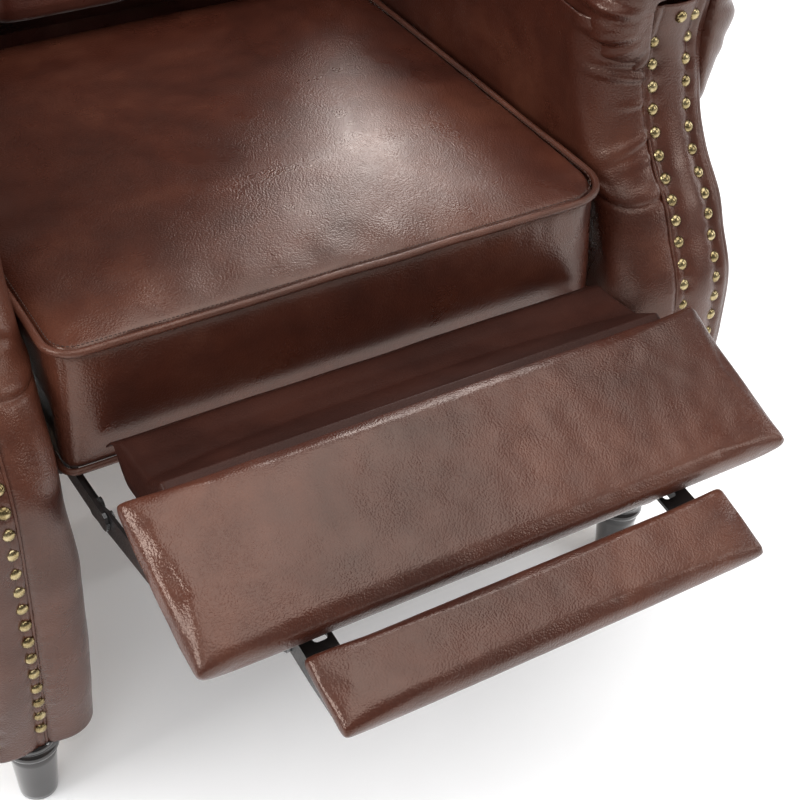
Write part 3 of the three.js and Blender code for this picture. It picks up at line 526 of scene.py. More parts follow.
# ---- camera, floor and light ----
camera_data = bpy.data.cameras.new("camera")
camera_data.lens = 69.74
camera_data.sensor_width = 36.0
camera = bpy.data.objects.new("camera", camera_data)
camera.matrix_world = Matrix.Translation(
    (-0.5187, SEAT_FRONT - 0.8747, SEAT_WELT + 0.7073)
) @ (
    Matrix.Rotation(math.radians(-32.65), 4, "Z")
    @ Matrix.Rotation(math.radians(50.46), 4, "X")
    @ Matrix.Rotation(math.radians(3.25), 4, "Z")
)
bpy.context.scene.collection.objects.link(camera)
bpy.context.scene.camera = camera

floor_bm = bmesh.new()
bmesh.ops.create_grid(floor_bm, x_segments=4, y_segments=4, size=14.0)
floor = finish_bmesh("floor", floor_bm)
floor_finish = plain_finish(
    "pale_floor", ((0.88, 0.88, 0.885), (0.90, 0.90, 0.905), (0.92, 0.92, 0.925)),
    (0.5, 0.6), scale=3.0, depth=0.0)
# light scattered about a white studio floor
glow = floor_finish.node_tree.nodes["Principled BSDF"]
glow.inputs["Emission Color"].default_value = (1.0, 1.0, 1.0, 1.0)
glow.inputs["Emission Strength"].default_value = 0.13
floor.data.materials.append(floor_finish)

world = bpy.data.worlds.new("studio")
world.use_nodes = True
sky = world.node_tree
backdrop = sky.nodes["Background"]
backdrop.inputs["Color"].default_value = (1.0, 1.0, 1.0, 1.0)
rays = node(sky, "ShaderNodeLightPath")
# the white room is bright to look at, softer as a light, and dim as a reflection
level = maths(sky, "ADD", 0.82, maths(sky, "MULTIPLY", rays.outputs["Is Camera Ray"], 0.18))
level = maths(sky, "SUBTRACT", level, maths(sky, "MULTIPLY", rays.outputs["Is Glossy Ray"], 0.6))
sky.links.new(level, backdrop.inputs["Strength"])
bpy.context.scene.world = world
bpy.context.scene.view_settings.view_transform = "Standard"


def softbox(name, place, target, size, power):
    data = bpy.data.lights.new(name, "AREA")
    data.shape = "RECTANGLE"
    data.size, data.size_y = size
    data.energy = power
    lamp = bpy.data.objects.new(name, data)
    lamp.location = place
    lamp.rotation_euler = (Vector(target) - Vector(place)).to_track_quat("-Z", "Y").to_euler()
    bpy.context.scene.collection.objects.link(lamp)


softbox("overhead", (0.5, -0.3, 3.0), (0, -0.1, 0.4), (2.4, 2.0), 46.0)
softbox("rear_right", (1.35, 2.5, 2.4), (0, -0.1, 0.45), (2.2, 1.6), 92.0)
softbox("left_side", (-2.1, 0.05, 1.9), (-0.1, -0.3, 0.35), (1.5, 0.9), 48.0)
softbox("key_left", (-1.2, -1.6, 2.6), (0, -0.2, 0.4), (0.8, 0.8), 9.0)
softbox("front_right", (1.9, -2.1, 1.7), (0.2, -0.2, 0.4), (0.6, 1.2), 13.0)
softbox("right_side", (2.8, -0.6, 1.2), (0.2, -0.3, 0.4), (0.8, 1.8), 14.0)


# ---- seat ----
def seat_corner(side, z):
    """Half width and front corner radius of the leather at a height; it leans on the left arm."""
    high = smooth(z, SEAT_BASE, SEAT_WELT)
    if side < 0:
        return SEAT_HALF + 7 * MM, (13 + 13 * high) * MM
    return SEAT_HALF - 2 * MM, (26 + 16 * high) * MM


def seat_outline_points(inset, height, step=8 * MM):
    """Front and sides of the seat in plan, from the left rear round to the right rear."""
    front = SEAT_FRONT + inset
    rear = SEAT_REAR - 10 * MM
    points = []
    for side in (-1, 1):
        half, radius = seat_corner(side, height)
        half -= inset
        radius -= inset
        turn = []
        n = int((rear - front - radius) / step)
        for i in range(n):
            turn.append((half, rear - i * (rear - front - radius) / n))
        for i in range(9):
            a = math.pi / 2 * i / 8
            turn.append((half - radius + radius * math.cos(a), front + radius - radius * math.sin(a)))
        m = int((half - radius) / step)
        for i in range(1, m + (side < 0)):
            turn.append(((half - radius) * (1 - i / m), front))
        line = [Vector((side * x, y, height)) for x, y in turn]
        points += line if side < 0 else line[::-1]
    return points


def seat_crown(x, y):
    """Rise of the seat's top above its welt."""
    u = clamp(abs(x) / SEAT_HALF)
    along = (y - SEAT_FRONT) / (SEAT_REAR - SEAT_FRONT)
    side = (1 - u ** 4) ** 0.7
    front = clamp(along / 0.32)
    rear = clamp((1.04 - along) / 0.35)
    return 17 * MM * side * (1 - (1 - front) ** 2.4) ** 0.8 * (1 - (1 - rear) ** 2) ** 0.8


def seat_edge(p):
    """Distance in from the seat's plan outline, and the outward direction there."""
    side = math.copysign(1, p.x)
    half, r = seat_corner(side, p.z)
    dx = abs(p.x) - (half - r)
    dy = (SEAT_FRONT + r) - p.y
    if dx > 0 and dy > 0:
        length = math.hypot(dx, dy)
        return r - length, Vector((side * dx / length, -dy / length, 0))
    if dx > dy:
        return r - dx, Vector((side, 0, 0))
    return r - dy, Vector((0, -1, 0))


def build_seat():
    inset = 3 * MM
    front = SEAT_FRONT + inset
    border = SEAT_FRONT + 29 * MM
    under = SEAT_WELT - 65 * MM
    bottom = SEAT_BASE - 1 * MM
    left = -seat_corner(-1, SEAT_WELT)[0] + inset
    right = seat_corner(1, SEAT_WELT)[0] - inset
    bm = bmesh.new()
    for rear, low, high in ((SEAT_REAR - inset, under, SEAT_WELT), (border, bottom, SEAT_WELT - 12 * MM)):
        made = bmesh.ops.create_cube(bm, size=1.0)
        bmesh.ops.scale(bm, verts=made["verts"], vec=(right - left, rear - front, high - low))
        bmesh.ops.translate(
            bm, verts=made["verts"], vec=((left + right) / 2, (front + rear) / 2, (low + high) / 2))
    seat = finish_bmesh("seat_upholstery", bm)
    remesh(seat, 5.0 * MM)

    def round_corner(p):
        """Square corner to round: a square ring about the corner's centre becomes a circle."""
        side = math.copysign(1, p.x)
        half, radius = seat_corner(side, p.z)
        half -= inset
        dx = abs(p.x) - (half - radius)
        dy = front + radius - p.y
        if dx > 0 and dy > 0:
            scale = max(dx, dy) / math.hypot(dx, dy)
            p.x = side * (half - radius + dx * scale)
            p.y = front + radius - dy * scale
        return p

    move_points(seat, round_corner)

    def crown(p):
        rise = smooth(p.z, SEAT_WELT - 25 * MM, SEAT_WELT)
        p.z += seat_crown(p.x, p.y) * rise
        return p

    move_points(seat, crown)

    def held(p):
        edge, _ = seat_edge(p)
        if edge < 14 * MM and abs(p.z - SEAT_WELT) < 7 * MM:
            return 1.0
        if p.z < SEAT_BASE + 12 * MM or p.y > SEAT_REAR - 12 * MM:
            return 1.0
        if p.z < under + 6 * MM and p.y > border - 4 * MM:
            return 1.0
        return 0.0

    inflate(seat, held, SEAT_SWELL)

    def groove(p):
        """The skin is drawn in along the welts and puckers beside them, inside its own space."""
        edge, outward = seat_edge(p)
        if edge < 30 * MM:
            along = p.x * abs(outward.y) + p.y * abs(outward.x)
            pucker = noise.noise(Vector((along * 70, 3.0, p.z * 8))) * 1.3 * MM
            near = bump(p.z, SEAT_WELT - 10 * MM, 26 * MM)
            p += outward * pucker * near
            p -= outward * bump(p.z, SEAT_WELT, 8 * MM) * 2.4 * MM
            p -= outward * bump(p.z, SEAT_BASE + 4 * MM, 8 * MM) * 1.0 * MM
        if edge < 70 * MM and p.z > SEAT_WELT:
            along = p.x * abs(outward.y) + p.y * abs(outward.x)
            fold = noise.noise(Vector((along * 34, edge * 12, 9.0)))
            p.z += 1.6 * MM * fold * bump(edge, 24 * MM, 34 * MM)
        if p.z > SEAT_WELT:
            p.z += 1.3 * MM * wander(p, 7.0, 5.0) * smooth(edge, 20 * MM, 80 * MM)
        p.x = clamp(p.x, -SEAT_HALF - 9 * MM, SEAT_HALF + 3 * MM)
        if p.y > border and p.z < under + 20 * MM:
            p.z = max(p.z, under)
        p.y = clamp(p.y, SEAT_FRONT - 6 * MM, SEAT_REAR)
        return p

    move_points(seat, groove)
    relax(seat, 1, 0.4)
    add_subsurf(seat, 1)
    apply_modifiers(seat)
    dress(seat, "seat", BROWN, "leather", "seat_cushion")

    welt = []
    for height, radius, inset in (
        (SEAT_WELT + 1 * MM, 3.4 * MM, 1.4 * MM), (SEAT_BASE + 0.5 * MM, 2.9 * MM, 2.0 * MM),
    ):
        points = seat_outline_points(inset, height)
        for p in points:
            p.z += 1.0 * MM * wander(p, 18.0, 3.0)
        welt.append(tube("seat_welt_part", points, radius, sides=12))
    piping = join("seat_piping", welt)
    dress(piping, "seat", PIPING, "leather")

    # fine stitches close beside the top welt
    stitches = bmesh.new()
    line = seat_outline_points(6.6 * MM, SEAT_WELT + 3.6 * MM, step=3.6 * MM)
    for a, b in zip(line, line[1:]):
        add_stitch(stitches, a, b, 0.45 * MM)
    thread = finish_bmesh("seat_stitching", stitches)
    dress(thread, "seat", THREAD, "leather")


def add_stitch(bm, a, b, radius):
    """A short rounded thread from a to b, with a gap at each end."""
    middle = (a + b) / 2
    length = (b - a).length * 0.62
    turn = (b - a).to_track_quat("Z", "Y").to_matrix().to_4x4()
    made = bmesh.ops.create_cone(
        bm, cap_ends=True, cap_tris=False, segments=5, radius1=radius, radius2=radius, depth=length)
    bmesh.ops.transform(bm, verts=made["verts"], matrix=Matrix.Translation(middle) @ turn)


def board_pad(name, width, depth, thick, low_edge, tilt, rear_top, body, nodes):
    """A flat padded panel on a tilted board. rear_top is the middle of its rear top edge."""
    bm = bmesh.new()
    bmesh.ops.create_cube(bm, size=1.0)
    inset = 1.0 * MM
    bmesh.ops.scale(bm, verts=bm.verts, vec=(width - 2 * inset, depth - 2 * inset, thick - inset))
    bmesh.ops.translate(bm, verts=bm.verts, vec=(0, -depth / 2, -thick / 2 - inset / 2))
    upright = [e for e in bm.edges if abs(e.verts[0].co.z - e.verts[1].co.z) > thick / 2]
    bmesh.ops.bevel(bm, geom=upright, offset=4 * MM, offset_type="OFFSET", affect="EDGES",
                    segments=4, profile=0.5, material=-1)
    level = [
        e for e in bm.edges
        if abs(e.verts[0].co.z - e.verts[1].co.z) < 1e-6 and len(e.link_faces) == 2
        and abs(e.link_faces[0].normal.z - e.link_faces[1].normal.z) > 0.5
    ]
    bmesh.ops.bevel(bm, geom=level, offset=low_edge, offset_type="OFFSET", affect="EDGES",
                    segments=6, profile=0.5, material=-1)
    pad = finish_bmesh(name, bm, merge=1e-6)
    remesh(pad, 3.4 * MM)

    def shape(p):
        u = clamp(abs(p.x) / (width / 2))
        v = clamp(abs(p.y + depth / 2) / (depth / 2))
        top = smooth(p.z, -thick * 0.6, -inset)
        p.z += BOARD_CROWN * top * (1 - u ** 14) * (1 - v ** 6)
        # the sides and the front draw in below the rolled edge
        under = smooth(-p.z, 7 * MM, thick)
        p.x *= 1 - under * 10 * MM / (width / 2)
        p.y = -depth / 2 + (p.y + depth / 2) * (1 - under * 6 * MM / (depth / 2))
        return p

    move_points(pad, shape)

    def held(p):
        return 1.0 if p.z < -thick + 8 * MM else 0.0

    inflate(pad, held, BOARD_SWELL, pressure=3.0, frames=16)

    def finish(p):
        p.z = max(p.z, -thick)
        soft = 0.7 * MM * wander(p, 26.0, 7.0) + 0.5 * MM * wander(p, 60.0, 1.0)
        p.z += soft * smooth(p.z, -thick, -thick * 0.3)
        return p

    move_points(pad, finish)
    move = Matrix.Translation(rear_top) @ Matrix.Rotation(tilt, 4, "X")
    pad.data.transform(move)
    add_subsurf(pad, 1)
    apply_modifiers(pad)
    dress(pad, body, BROWN, "leather", *nodes)


REST_REAR = Vector((0, SEAT_FRONT - 107 * MM, SEAT_BASE + 68 * MM))
TIP_REAR = Vector((0, tip_high.y - 0.2 * MM, tip_high.z - 0.2 * MM))


def build_footrest():
    board_pad("footrest_upholstery", rest_high.x - rest_low.x + REST_PROUD, REST_DEPTH, REST_THICK, REST_EDGE,
              REST_TILT, REST_REAR, "footrest", ("footrest_pad", "footrest_board"))
    board_pad("tip_upholstery", tip_high.x - tip_low.x, TIP_DEPTH, TIP_THICK, TIP_EDGE,
              TIP_TILT, TIP_REAR, "tip_panel", ("tip_pad", "tip_board"))


# ---- flap between the seat and the footrest ----
# height of the seat's base in the flap's own profile, in mm
FLAP_DATUM = 348


def build_flap():
    half = FLAP_HALF
    stations = ((5, 372), (14, 382), (28, 392), (54, 393), (82, 396), (94, 404.5), (104, 412.5), (112, 409))

    def place(u, v):
        x = (u * 2 - 1) * half
        f, z = along_lines(stations, v)
        # the crease sits further back across the middle
        across = 1 - (abs(x) / half) ** 3
        f -= 16 * across * bump(v, 4 / 7, 0.27)
        z -= 2.5 * across * bump(v, 4 / 7, 0.27)
        z += 1.1 * noise.noise(Vector((x * 16, f * 0.03, 2.0))) * (1 - smooth(v, 0.7, 0.9))
        # the ends are folded down
        end = smooth(abs(x), half - 7 * MM, half)
        z -= end * 30 * smooth(v, 0.2, 0.4)
        x -= math.copysign(3 * MM, x) * end
        return Vector((x, SEAT_FRONT - f * MM, (z - FLAP_DATUM) * MM + SEAT_BASE))

    flap = grid_piece("bridge_flap_leather", 200, 54, place)
    flap.data.flip_normals()
    add_wall(flap, 1.8 * MM)
    relax(flap, 1)
    # the flap takes the darker hide copy: painted shade from the seat above it
    dress(flap, "bridge_flap", SHADED, "dark_leather", "bridge_flap")


# ---- arms ----
FRONT_MM = (
    (66, -17), (93, -20), (150, -28), (200, -32), (250, -34), (300, -36), (345, -35),
    (370, -30), (400, -15), (430, 0), (460, 25), (490, 42), (520, 52), (560, 60), (600, 55),
)


def front_curve(z):
    """How far the arm's front stands behind the seat's front plane at a height."""
    mm = z / MM
    if mm <= FRONT_MM[0][0]:
        return FRONT_MM[0][1] * MM
    for i in range(len(FRONT_MM) - 1):
        (z0, y0), (z1, y1) = FRONT_MM[i], FRONT_MM[i + 1]
        if mm <= z1:
            before = FRONT_MM[max(0, i - 1)]
            after = FRONT_MM[min(len(FRONT_MM) - 1, i + 2)]
            m0 = (y1 - before[1]) / max(1e-6, z1 - before[0]) * (z1 - z0)
            m1 = (after[1] - y0) / max(1e-6, after[0] - z0) * (z1 - z0)
            t = (mm - z0) / (z1 - z0)
            value = (
                (2 * t**3 - 3 * t**2 + 1) * y0 + (t**3 - 2 * t**2 + t) * m0
                + (-2 * t**3 + 3 * t**2) * y1 + (t**3 - t**2) * m1
            )
            return value * MM
    return FRONT_MM[-1][1] * MM


WRAP = 45 * MM
NAIL_IN = FACE_IN + 6.2 * MM
NAIL_OUT = FACE_OUT - 12.7 * MM
NAIL_PITCH = 20.2 * MM
FACE_MIDDLE = (NAIL_IN + NAIL_OUT) / 2
SEAM = 438 * MM


def front_normal(z):
    """Outward direction (y, z) of the arm's front edge at a height."""
    rise = (front_curve(z + 3 * MM) - front_curve(z - 3 * MM)) / (6 * MM)
    length = math.hypot(1, rise)
    return -1 / length, rise / length


def nail_heights(top):
    """Heights of one row of nails, evenly spaced along the curved front, from the top down."""
    heights = []
    z = top
    while z > ARM_BASE + 9 * MM:
        heights.append(z)
        slope = (front_curve(z + 2 * MM) - front_curve(z - 2 * MM)) / (4 * MM)
        z -= NAIL_PITCH / math.hypot(1, slope)
    return heights


def nail_shift(z):
    """The inner row eases inwards low down."""
    return -4.0 * MM * smooth(-z, -340 * MM, -110 * MM)


NAIL_ROWS = (
    ("inner", NAIL_IN, nail_heights(563 * MM)),
    ("outer", NAIL_OUT, nail_heights(560.5 * MM)),
)
TOP_NAILS = {
    "inner": (FACE_IN + 24.7 * MM, 587 * MM),
    "outer": (FACE_IN + 43.2 * MM, 583 * MM),
}
NAIL_RADIUS = 5.8 * MM
NAIL_FLATNESS = 0.72
NAIL_PROUD = 1.9 * MM


def arm_path():
    """Plan path round the arm, from the inside rear to the outside rear: (x, y behind the front)."""
    rear = ARM_REAR - SEAT_FRONT
    points = []
    for i in range(26):
        points.append((ARM_INSIDE, rear + (WRAP - rear) * (1 - (1 - i / 26) ** 1.5)))
    centre = (ARM_INSIDE + WRAP, WRAP)
    for i in range(40):
        a = math.pi + math.pi / 2 * i / 40
        points.append((centre[0] + WRAP * math.cos(a), centre[1] + WRAP * math.sin(a)))
    for i in range(44):
        points.append((centre[0] + (FACE_OUT - centre[0]) * i / 44, 0.0))
    r = 6 * MM
    for i in range(8):
        a = -math.pi / 2 + math.pi / 2 * i / 8
        points.append((ARM_OUTSIDE - r + r * math.cos(a), r + r * math.sin(a)))
    for i in range(15):
        points.append((ARM_OUTSIDE, r + (rear - r) * (i / 14) ** 1.4))
    return points


def pleat(d, z, start, slope, reach, width, depth):
    """A fold that leaves the nails at a height and runs away from them, fading out."""
    line = start + slope * d
    t = clamp(d / reach)
    across = (z - line) / (width * (0.6 + 0.8 * t))
    if across > 1.6 or across < -1:
        return 0.0
    rise = (1 - across * across) if across < 0 else math.exp(-2.2 * across * across)
    return depth * rise * (1 - t) ** 0.8 * smooth(d, -1 * MM, 5 * MM)


def face_relief(x, z):
    """Outward relief of the front face: a pillow between the rows, dimples at the nails."""
    spread = (NAIL_OUT - NAIL_IN) / 2
    across = clamp(1 - ((x - FACE_MIDDLE) / spread) ** 2)
    pillow = 4.0 * MM * across ** 0.75 * (1 + 0.25 * wander((x, 0, z), 26.0, 8.0))
    if x > NAIL_OUT:
        pillow += 1.6 * MM * bump(x, (NAIL_OUT + FACE_OUT) / 2 + 1 * MM, 6 * MM)
    if x < NAIL_IN:
        pillow += 1.0 * MM * bump(x, (NAIL_IN + FACE_IN) / 2, 4 * MM)
    for _, row, heights in NAIL_ROWS:
        for height in heights:
            dz = z - height
            if abs(dz) < 16 * MM:
                dx = x - row - (nail_shift(height) if row == NAIL_IN else 0)
                pillow -= 2.2 * MM * math.exp(-((dx * dx + dz * dz) / (6.5 * MM) ** 2))
    return pillow


def build_arm(label, side):
    path = arm_path()
    count = len(path) - 1
    rows = 250
    low = ARM_BASE
    puckers = [(h, 0.5 + 0.5 * noise.noise(Vector((h * 90, side * 3.0, 0)))) for h in NAIL_ROWS[0][2]]

    def place(u, v):
        i = min(int(u * count), count - 1)
        s = u * count - i
        (x0, y0), (x1, y1) = path[i], path[i + 1]
        x = x0 + (x1 - x0) * s
        y = y0 + (y1 - y0) * s
        normal = Vector((y1 - y0, x0 - x1)).normalized()
        top_in, top_face, top_out = 588 * MM, FACE_TOP, 546 * MM
        if x < FACE_IN:
            top = top_in + (top_face - top_in) * smooth(x, FACE_IN - 25 * MM, FACE_IN)
        else:
            top = top_face + (top_out - top_face) * smooth(x, FACE_OUT, ARM_OUTSIDE)
        z = low + (top - low) * v
        share = clamp((300 * MM - y) / (180 * MM))
        yy = y + front_curve(z) * share
        here = Vector((x, y, z))
        out = 0.0
        on_face = smooth(x, FACE_IN - 1 * MM, FACE_IN + 1 * MM) * (1 - smooth(x, FACE_OUT, FACE_OUT + 3 * MM))
        if y < 100 * MM and x >= FACE_IN - 1 * MM:
            out += face_relief(x, z) * on_face
        if x < FACE_IN:
            # distance round the wrap from the front panel's edge
            if y < WRAP:
                angle = math.atan2(WRAP - y, ARM_INSIDE + WRAP - x)
                d = WRAP * (math.pi / 2 - angle)
            else:
                d = WRAP * math.pi / 2 + y - WRAP
            near = 1 - smooth(d, 70 * MM, 190 * MM)
            # the inside leans over to meet the roll
            out += 4.6 * MM * smooth(z, 470 * MM, 586 * MM) * smooth(d, 20 * MM, 70 * MM)
            out += 3.0 * MM * math.sin(math.pi * clamp(d / (95 * MM))) * near
            out += 10.0 * MM * bump(d, 36 * MM, 36 * MM) * smooth(-z, -345 * MM, -270 * MM)
            out -= 2.0 * MM * bump(d, 2.5 * MM, 4.5 * MM)
            for height, strength in puckers:
                if height < 520 * MM:
                    out += pleat(d, z, height - 3 * MM, -0.1, 16 * MM, 3.4 * MM, 0.9 * MM * strength)
            # folds gathered under the roll
            out += pleat(d, z, 571 * MM, 0.16, 74 * MM, 7 * MM, 6.5 * MM)
            out += pleat(d, z, 549 * MM, 0.05, 52 * MM, 5 * MM, 4.2 * MM)
            out += pleat(d, z, 533 * MM, 0.12, 60 * MM, 5 * MM, 4.6 * MM)
            out += pleat(d, z, 512 * MM, -0.1, 34 * MM, 4 * MM, 2.2 * MM)
            out += pleat(d, z, 486 * MM, -0.45, 62 * MM, 7 * MM, 3.0 * MM)
            out += pleat(d, z, 468 * MM, -0.3, 44 * MM, 5 * MM, 2.0 * MM)
            # sewn seam across the wrap, dipping at the corner, and an upright one further back
            seam = SEAM - 7 * MM * bump(d, 40 * MM, 45 * MM)
            wrapped = 1 - smooth(d, 285 * MM, 295 * MM)
            out -= 2.0 * MM * bump(z, seam, 3.6 * MM) * wrapped
            out += 1.4 * MM * bump(z, seam + 7 * MM, 8 * MM) * wrapped
            if z > seam:
                out -= 2.0 * MM * bump(d, 319 * MM, 5 * MM)
        elif x > FACE_OUT:
            out += 1.2 * MM * wander(here, 9.0, 4.0)
        out += 1.3 * MM * wander(here, 9.0, 4.0 + side) + 0.45 * MM * wander(here, 34.0, 9.0 + side)
        if y > 100 * MM and x < FACE_IN:
            beside_seat = bump(z, 410 * MM, 110 * MM)
            out = clamp(out, -4 * MM, (7.5 - 4 * beside_seat) * MM)
        lift_y, lift_z = front_normal(z)
        facing = clamp(-normal.y)
        px = x + normal.x * out
        py = yy + normal.y * out * (1 + (-lift_y - 1) * facing)
        pz = z + lift_z * out * facing * 0.8
        return Vector((side * px, SEAT_FRONT + py, max(pz, low)))

    arm = grid_piece(f"arm_leather_{label}", count, rows, place)
    if side > 0:
        arm.data.flip_normals()
    add_wall(arm)
    dress(
        arm, "chair_frame", BROWN, "leather",
        f"arm_inside_panel_{label}", f"arm_front_panel_{label}", f"arm_outside_panel_{label}",
    )
    build_roll(label, side)
    build_arm_trim(label, side)


def build_roll(label, side):
    front = SEAT_FRONT + 50 * MM
    rear = ARM_REAR
    fillet = 30 * MM
    stations = []
    for i in range(14):
        t = i / 13
        stations.append((front + 3 * MM * (1 - t), (ROLL_R - fillet) * t + 0.5 * MM))
    for i in range(1, 15):
        a = math.pi / 2 * i / 14
        stations.append((front + fillet * (1 - math.cos(a)), ROLL_R - fillet + fillet * math.sin(a)))
    length = rear - front
    for i in range(1, 49):
        stations.append((front + fillet + (length - fillet - 10 * MM) * i / 48, ROLL_R))
    for i in range(1, 7):
        a = math.pi / 2 * i / 6
        stations.append((rear - 10 * MM + 10 * MM * math.sin(a), ROLL_R - 10 * MM * (1 - math.cos(a))))
    for i in range(1, 9):
        stations.append((rear, (ROLL_R - 10 * MM) * (1 - i / 8) + 0.5 * MM * (i == 8)))
    rings = len(stations) - 1

    def roll_place(u, v):
        y, r = along_lines(stations, v)
        angle = 2 * math.pi * u
        c, q = math.cos(angle), math.sin(angle)
        near = 1 - smooth(y, front + 10 * MM, front + 85 * MM)
        full = smooth(r, 12 * MM, ROLL_R * 0.8)
        inner = smooth(-c, -0.3, 0.5)
        gather = math.sin(angle * 17 + 0.6) + 0.7 * math.sin(angle * 29 + 2.0)
        gather *= near * full * (0.7 + 1.5 * inner) * MM
        around_point = Vector((c, q, y * 4))
        r2 = r + gather + 1.4 * MM * wander(around_point, 2.2, 6.0 + side) * smooth(r, 0, ROLL_R)
        # the outer lower quarter runs down straight to the outside panel
        if c > 0 and q < 0:
            straight = min(89.5 * MM / (c - 0.273 * q), 112 * MM / max(-q, 0.01))
            r2 *= 1 + (straight / ROLL_R - 1) * full * smooth(-q, 0.0, 0.35)
        x = ROLL_X + r2 * c
        z = ROLL_Z + r2 * q
        if z < FACE_TOP + 5 * MM and FACE_IN - 4 * MM < x < FACE_OUT + 6 * MM:
            back = smooth(x, FACE_IN - 4 * MM, FACE_IN + 3 * MM)
            back *= 1 - smooth(x, FACE_OUT - 2 * MM, FACE_OUT + 6 * MM)
            back *= 1 - smooth(z, FACE_TOP - 6 * MM, FACE_TOP + 5 * MM)
            y = y + (max(y, front + 26 * MM) - y) * back
        if x < FACE_IN:
            z = max(z, 536 * MM)
        return Vector((side * x, y, z))

    roll = grid_piece(f"arm_roll_leather_{label}", 132, rings, roll_place)
    bm = bmesh.new()
    bm.from_mesh(roll.data)
    bmesh.ops.remove_doubles(bm, verts=bm.verts, dist=0.3 * MM)
    bmesh.ops.recalc_face_normals(bm, faces=bm.faces)
    bm.to_mesh(roll.data)
    bm.free()
    add_subsurf(roll, 1)
    apply_modifiers(roll)
    dress(roll, "chair_frame", BROWN, "leather", f"arm_roll_{label}")


def face_point(x, z, side, proud):
    """A place on the arm's front face, standing proud of the leather along its normal."""
    lift_y, lift_z = front_normal(z)
    lift = face_relief(x, z) + proud
    return Vector((side * x, SEAT_FRONT + front_curve(z) + lift_y * lift, z + lift_z * lift * 0.8))


def build_arm_trim(label, side):
    for row, x, heights in NAIL_ROWS:
        bm = bmesh.new()
        spots = [
            (x + (nail_shift(z) if row == "inner" else 0.0)
             + 0.5 * MM * wander((i * 1.3, side, x * 9), 1.0, 5.0), z)
            for i, z in enumerate(heights)
        ]
        spots.append(TOP_NAILS[row])
        for nail_x, z in spots:
            lift_y, lift_z = front_normal(z)
            made = bmesh.ops.create_uvsphere(bm, u_segments=16, v_segments=10, radius=NAIL_RADIUS)
            bmesh.ops.scale(bm, verts=made["verts"], vec=(1, 1, NAIL_FLATNESS))
            facing = Vector((0, lift_y, lift_z)).to_track_quat("Z", "Y").to_matrix().to_4x4()
            centre = face_point(nail_x, z, side, NAIL_PROUD)
            bmesh.ops.transform(bm, verts=made["verts"], matrix=Matrix.Translation(centre) @ facing)
        nails = finish_bmesh(f"arm_nails_{row}_{label}", bm)
        dress(nails, "chair_frame", ANTIQUE_BRASS, "brass", f"arm_nail_trim_{row}_{label}")

    # thin welts down both edges of the front panel
    cords = []
    for x, top in ((FACE_IN - 1.6 * MM, 480 * MM), (FACE_OUT - 1.5 * MM, FACE_TOP - 8 * MM)):
        line = []
        z = ARM_BASE + 2 * MM
        while z < top:
            line.append(face_point(x, z, side, 0.1 * MM - (face_relief(x, z) if x < FACE_IN else 0)))
            z += 6 * MM
        cords.append(tube("arm_edge_part", line, 1.5 * MM, sides=8))
    edge = join(f"arm_edge_welt_{label}", cords)
    dress(edge, "chair_frame", PIPING, "leather")


# ---- legs ----
def build_legs():
    for label, side in SIDES:
        for place_name in ("front", "rear"):
            source = f"leg_{place_name}_{label}"
            low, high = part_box(source)
            centre = (low + high) / 2
            height = (high.z - low.z) / MM
            profile = (
                (0.0, 0.0), (15.5, 0.0), (17.2, 1.2), (17.8, 6.0), (19.0, 26.0), (20.8, height - 26),
                (21.4, height - 21), (20.4, height - 19.5), (20.4, height - 18.3), (23.2, height - 16),
                (24.3, height - 13), (23.4, height - 10), (21.2, height - 8.2), (21.2, height - 7),
                (22.4, height - 5), (22.6, height), (0.0, height),
            )
            bm = bmesh.new()
            verts = [bm.verts.new((r * MM, 0, h * MM)) for r, h in profile]
            edges = [bm.edges.new((a, b)) for a, b in zip(verts, verts[1:])]
            bmesh.ops.spin(
                bm, geom=verts + edges, cent=(0, 0, 0), axis=(0, 0, 1), dvec=(0, 0, 0),
                angle=2 * math.pi, steps=56, use_merge=True, use_duplicate=False)
            bmesh.ops.translate(bm, verts=bm.verts, vec=(centre.x, centre.y, low.z))
            leg = finish_bmesh(f"turned_leg_{place_name}_{label}", bm, merge=1e-5)
            dress(leg, "chair_frame", ESPRESSO, "espresso", source)


# ---- back ----
BACK_PIVOT = Vector((0, SEAT_REAR + 52 * MM, SEAT_BASE + 32 * MM))
BUTTONS = ((-130, 255), (0, 255), (130, 255), (-195, 360), (-65, 360), (65, 360), (195, 360),
           (-130, 465), (0, 465), (130, 465), (-65, 565), (65, 565))


def back_depth(x, h):
    """Relief of the tufted face at x and height above the pivot, in mm: buttons sink, pleats join them."""
    value = 0.0
    for bx, bh in BUTTONS:
        d = math.hypot(x - bx, h - bh)
        value -= 24 * math.exp(-(d / 24) ** 1.4)

    def channel(ax, ah, bx, bh, depth):
        dx, dh = bx - ax, bh - ah
        t = clamp(((x - ax) * dx + (h - ah) * dh) / (dx * dx + dh * dh))
        d = math.hypot(x - ax - t * dx, h - ah - t * dh)
        return -depth * math.exp(-(d / 7.0) ** 1.2)

    deepest = 0.0
    for i, (ax, ah) in enumerate(BUTTONS):
        for bx, bh in BUTTONS[i + 1:]:
            if 50 < abs(bh - ah) < 120 and abs(bx - ax) < 80:
                deepest = min(deepest, channel(ax, ah, bx, bh, 10))
        if ah < 300:
            deepest = min(deepest, channel(ax, ah, ax, 95, 9))
    return value + deepest


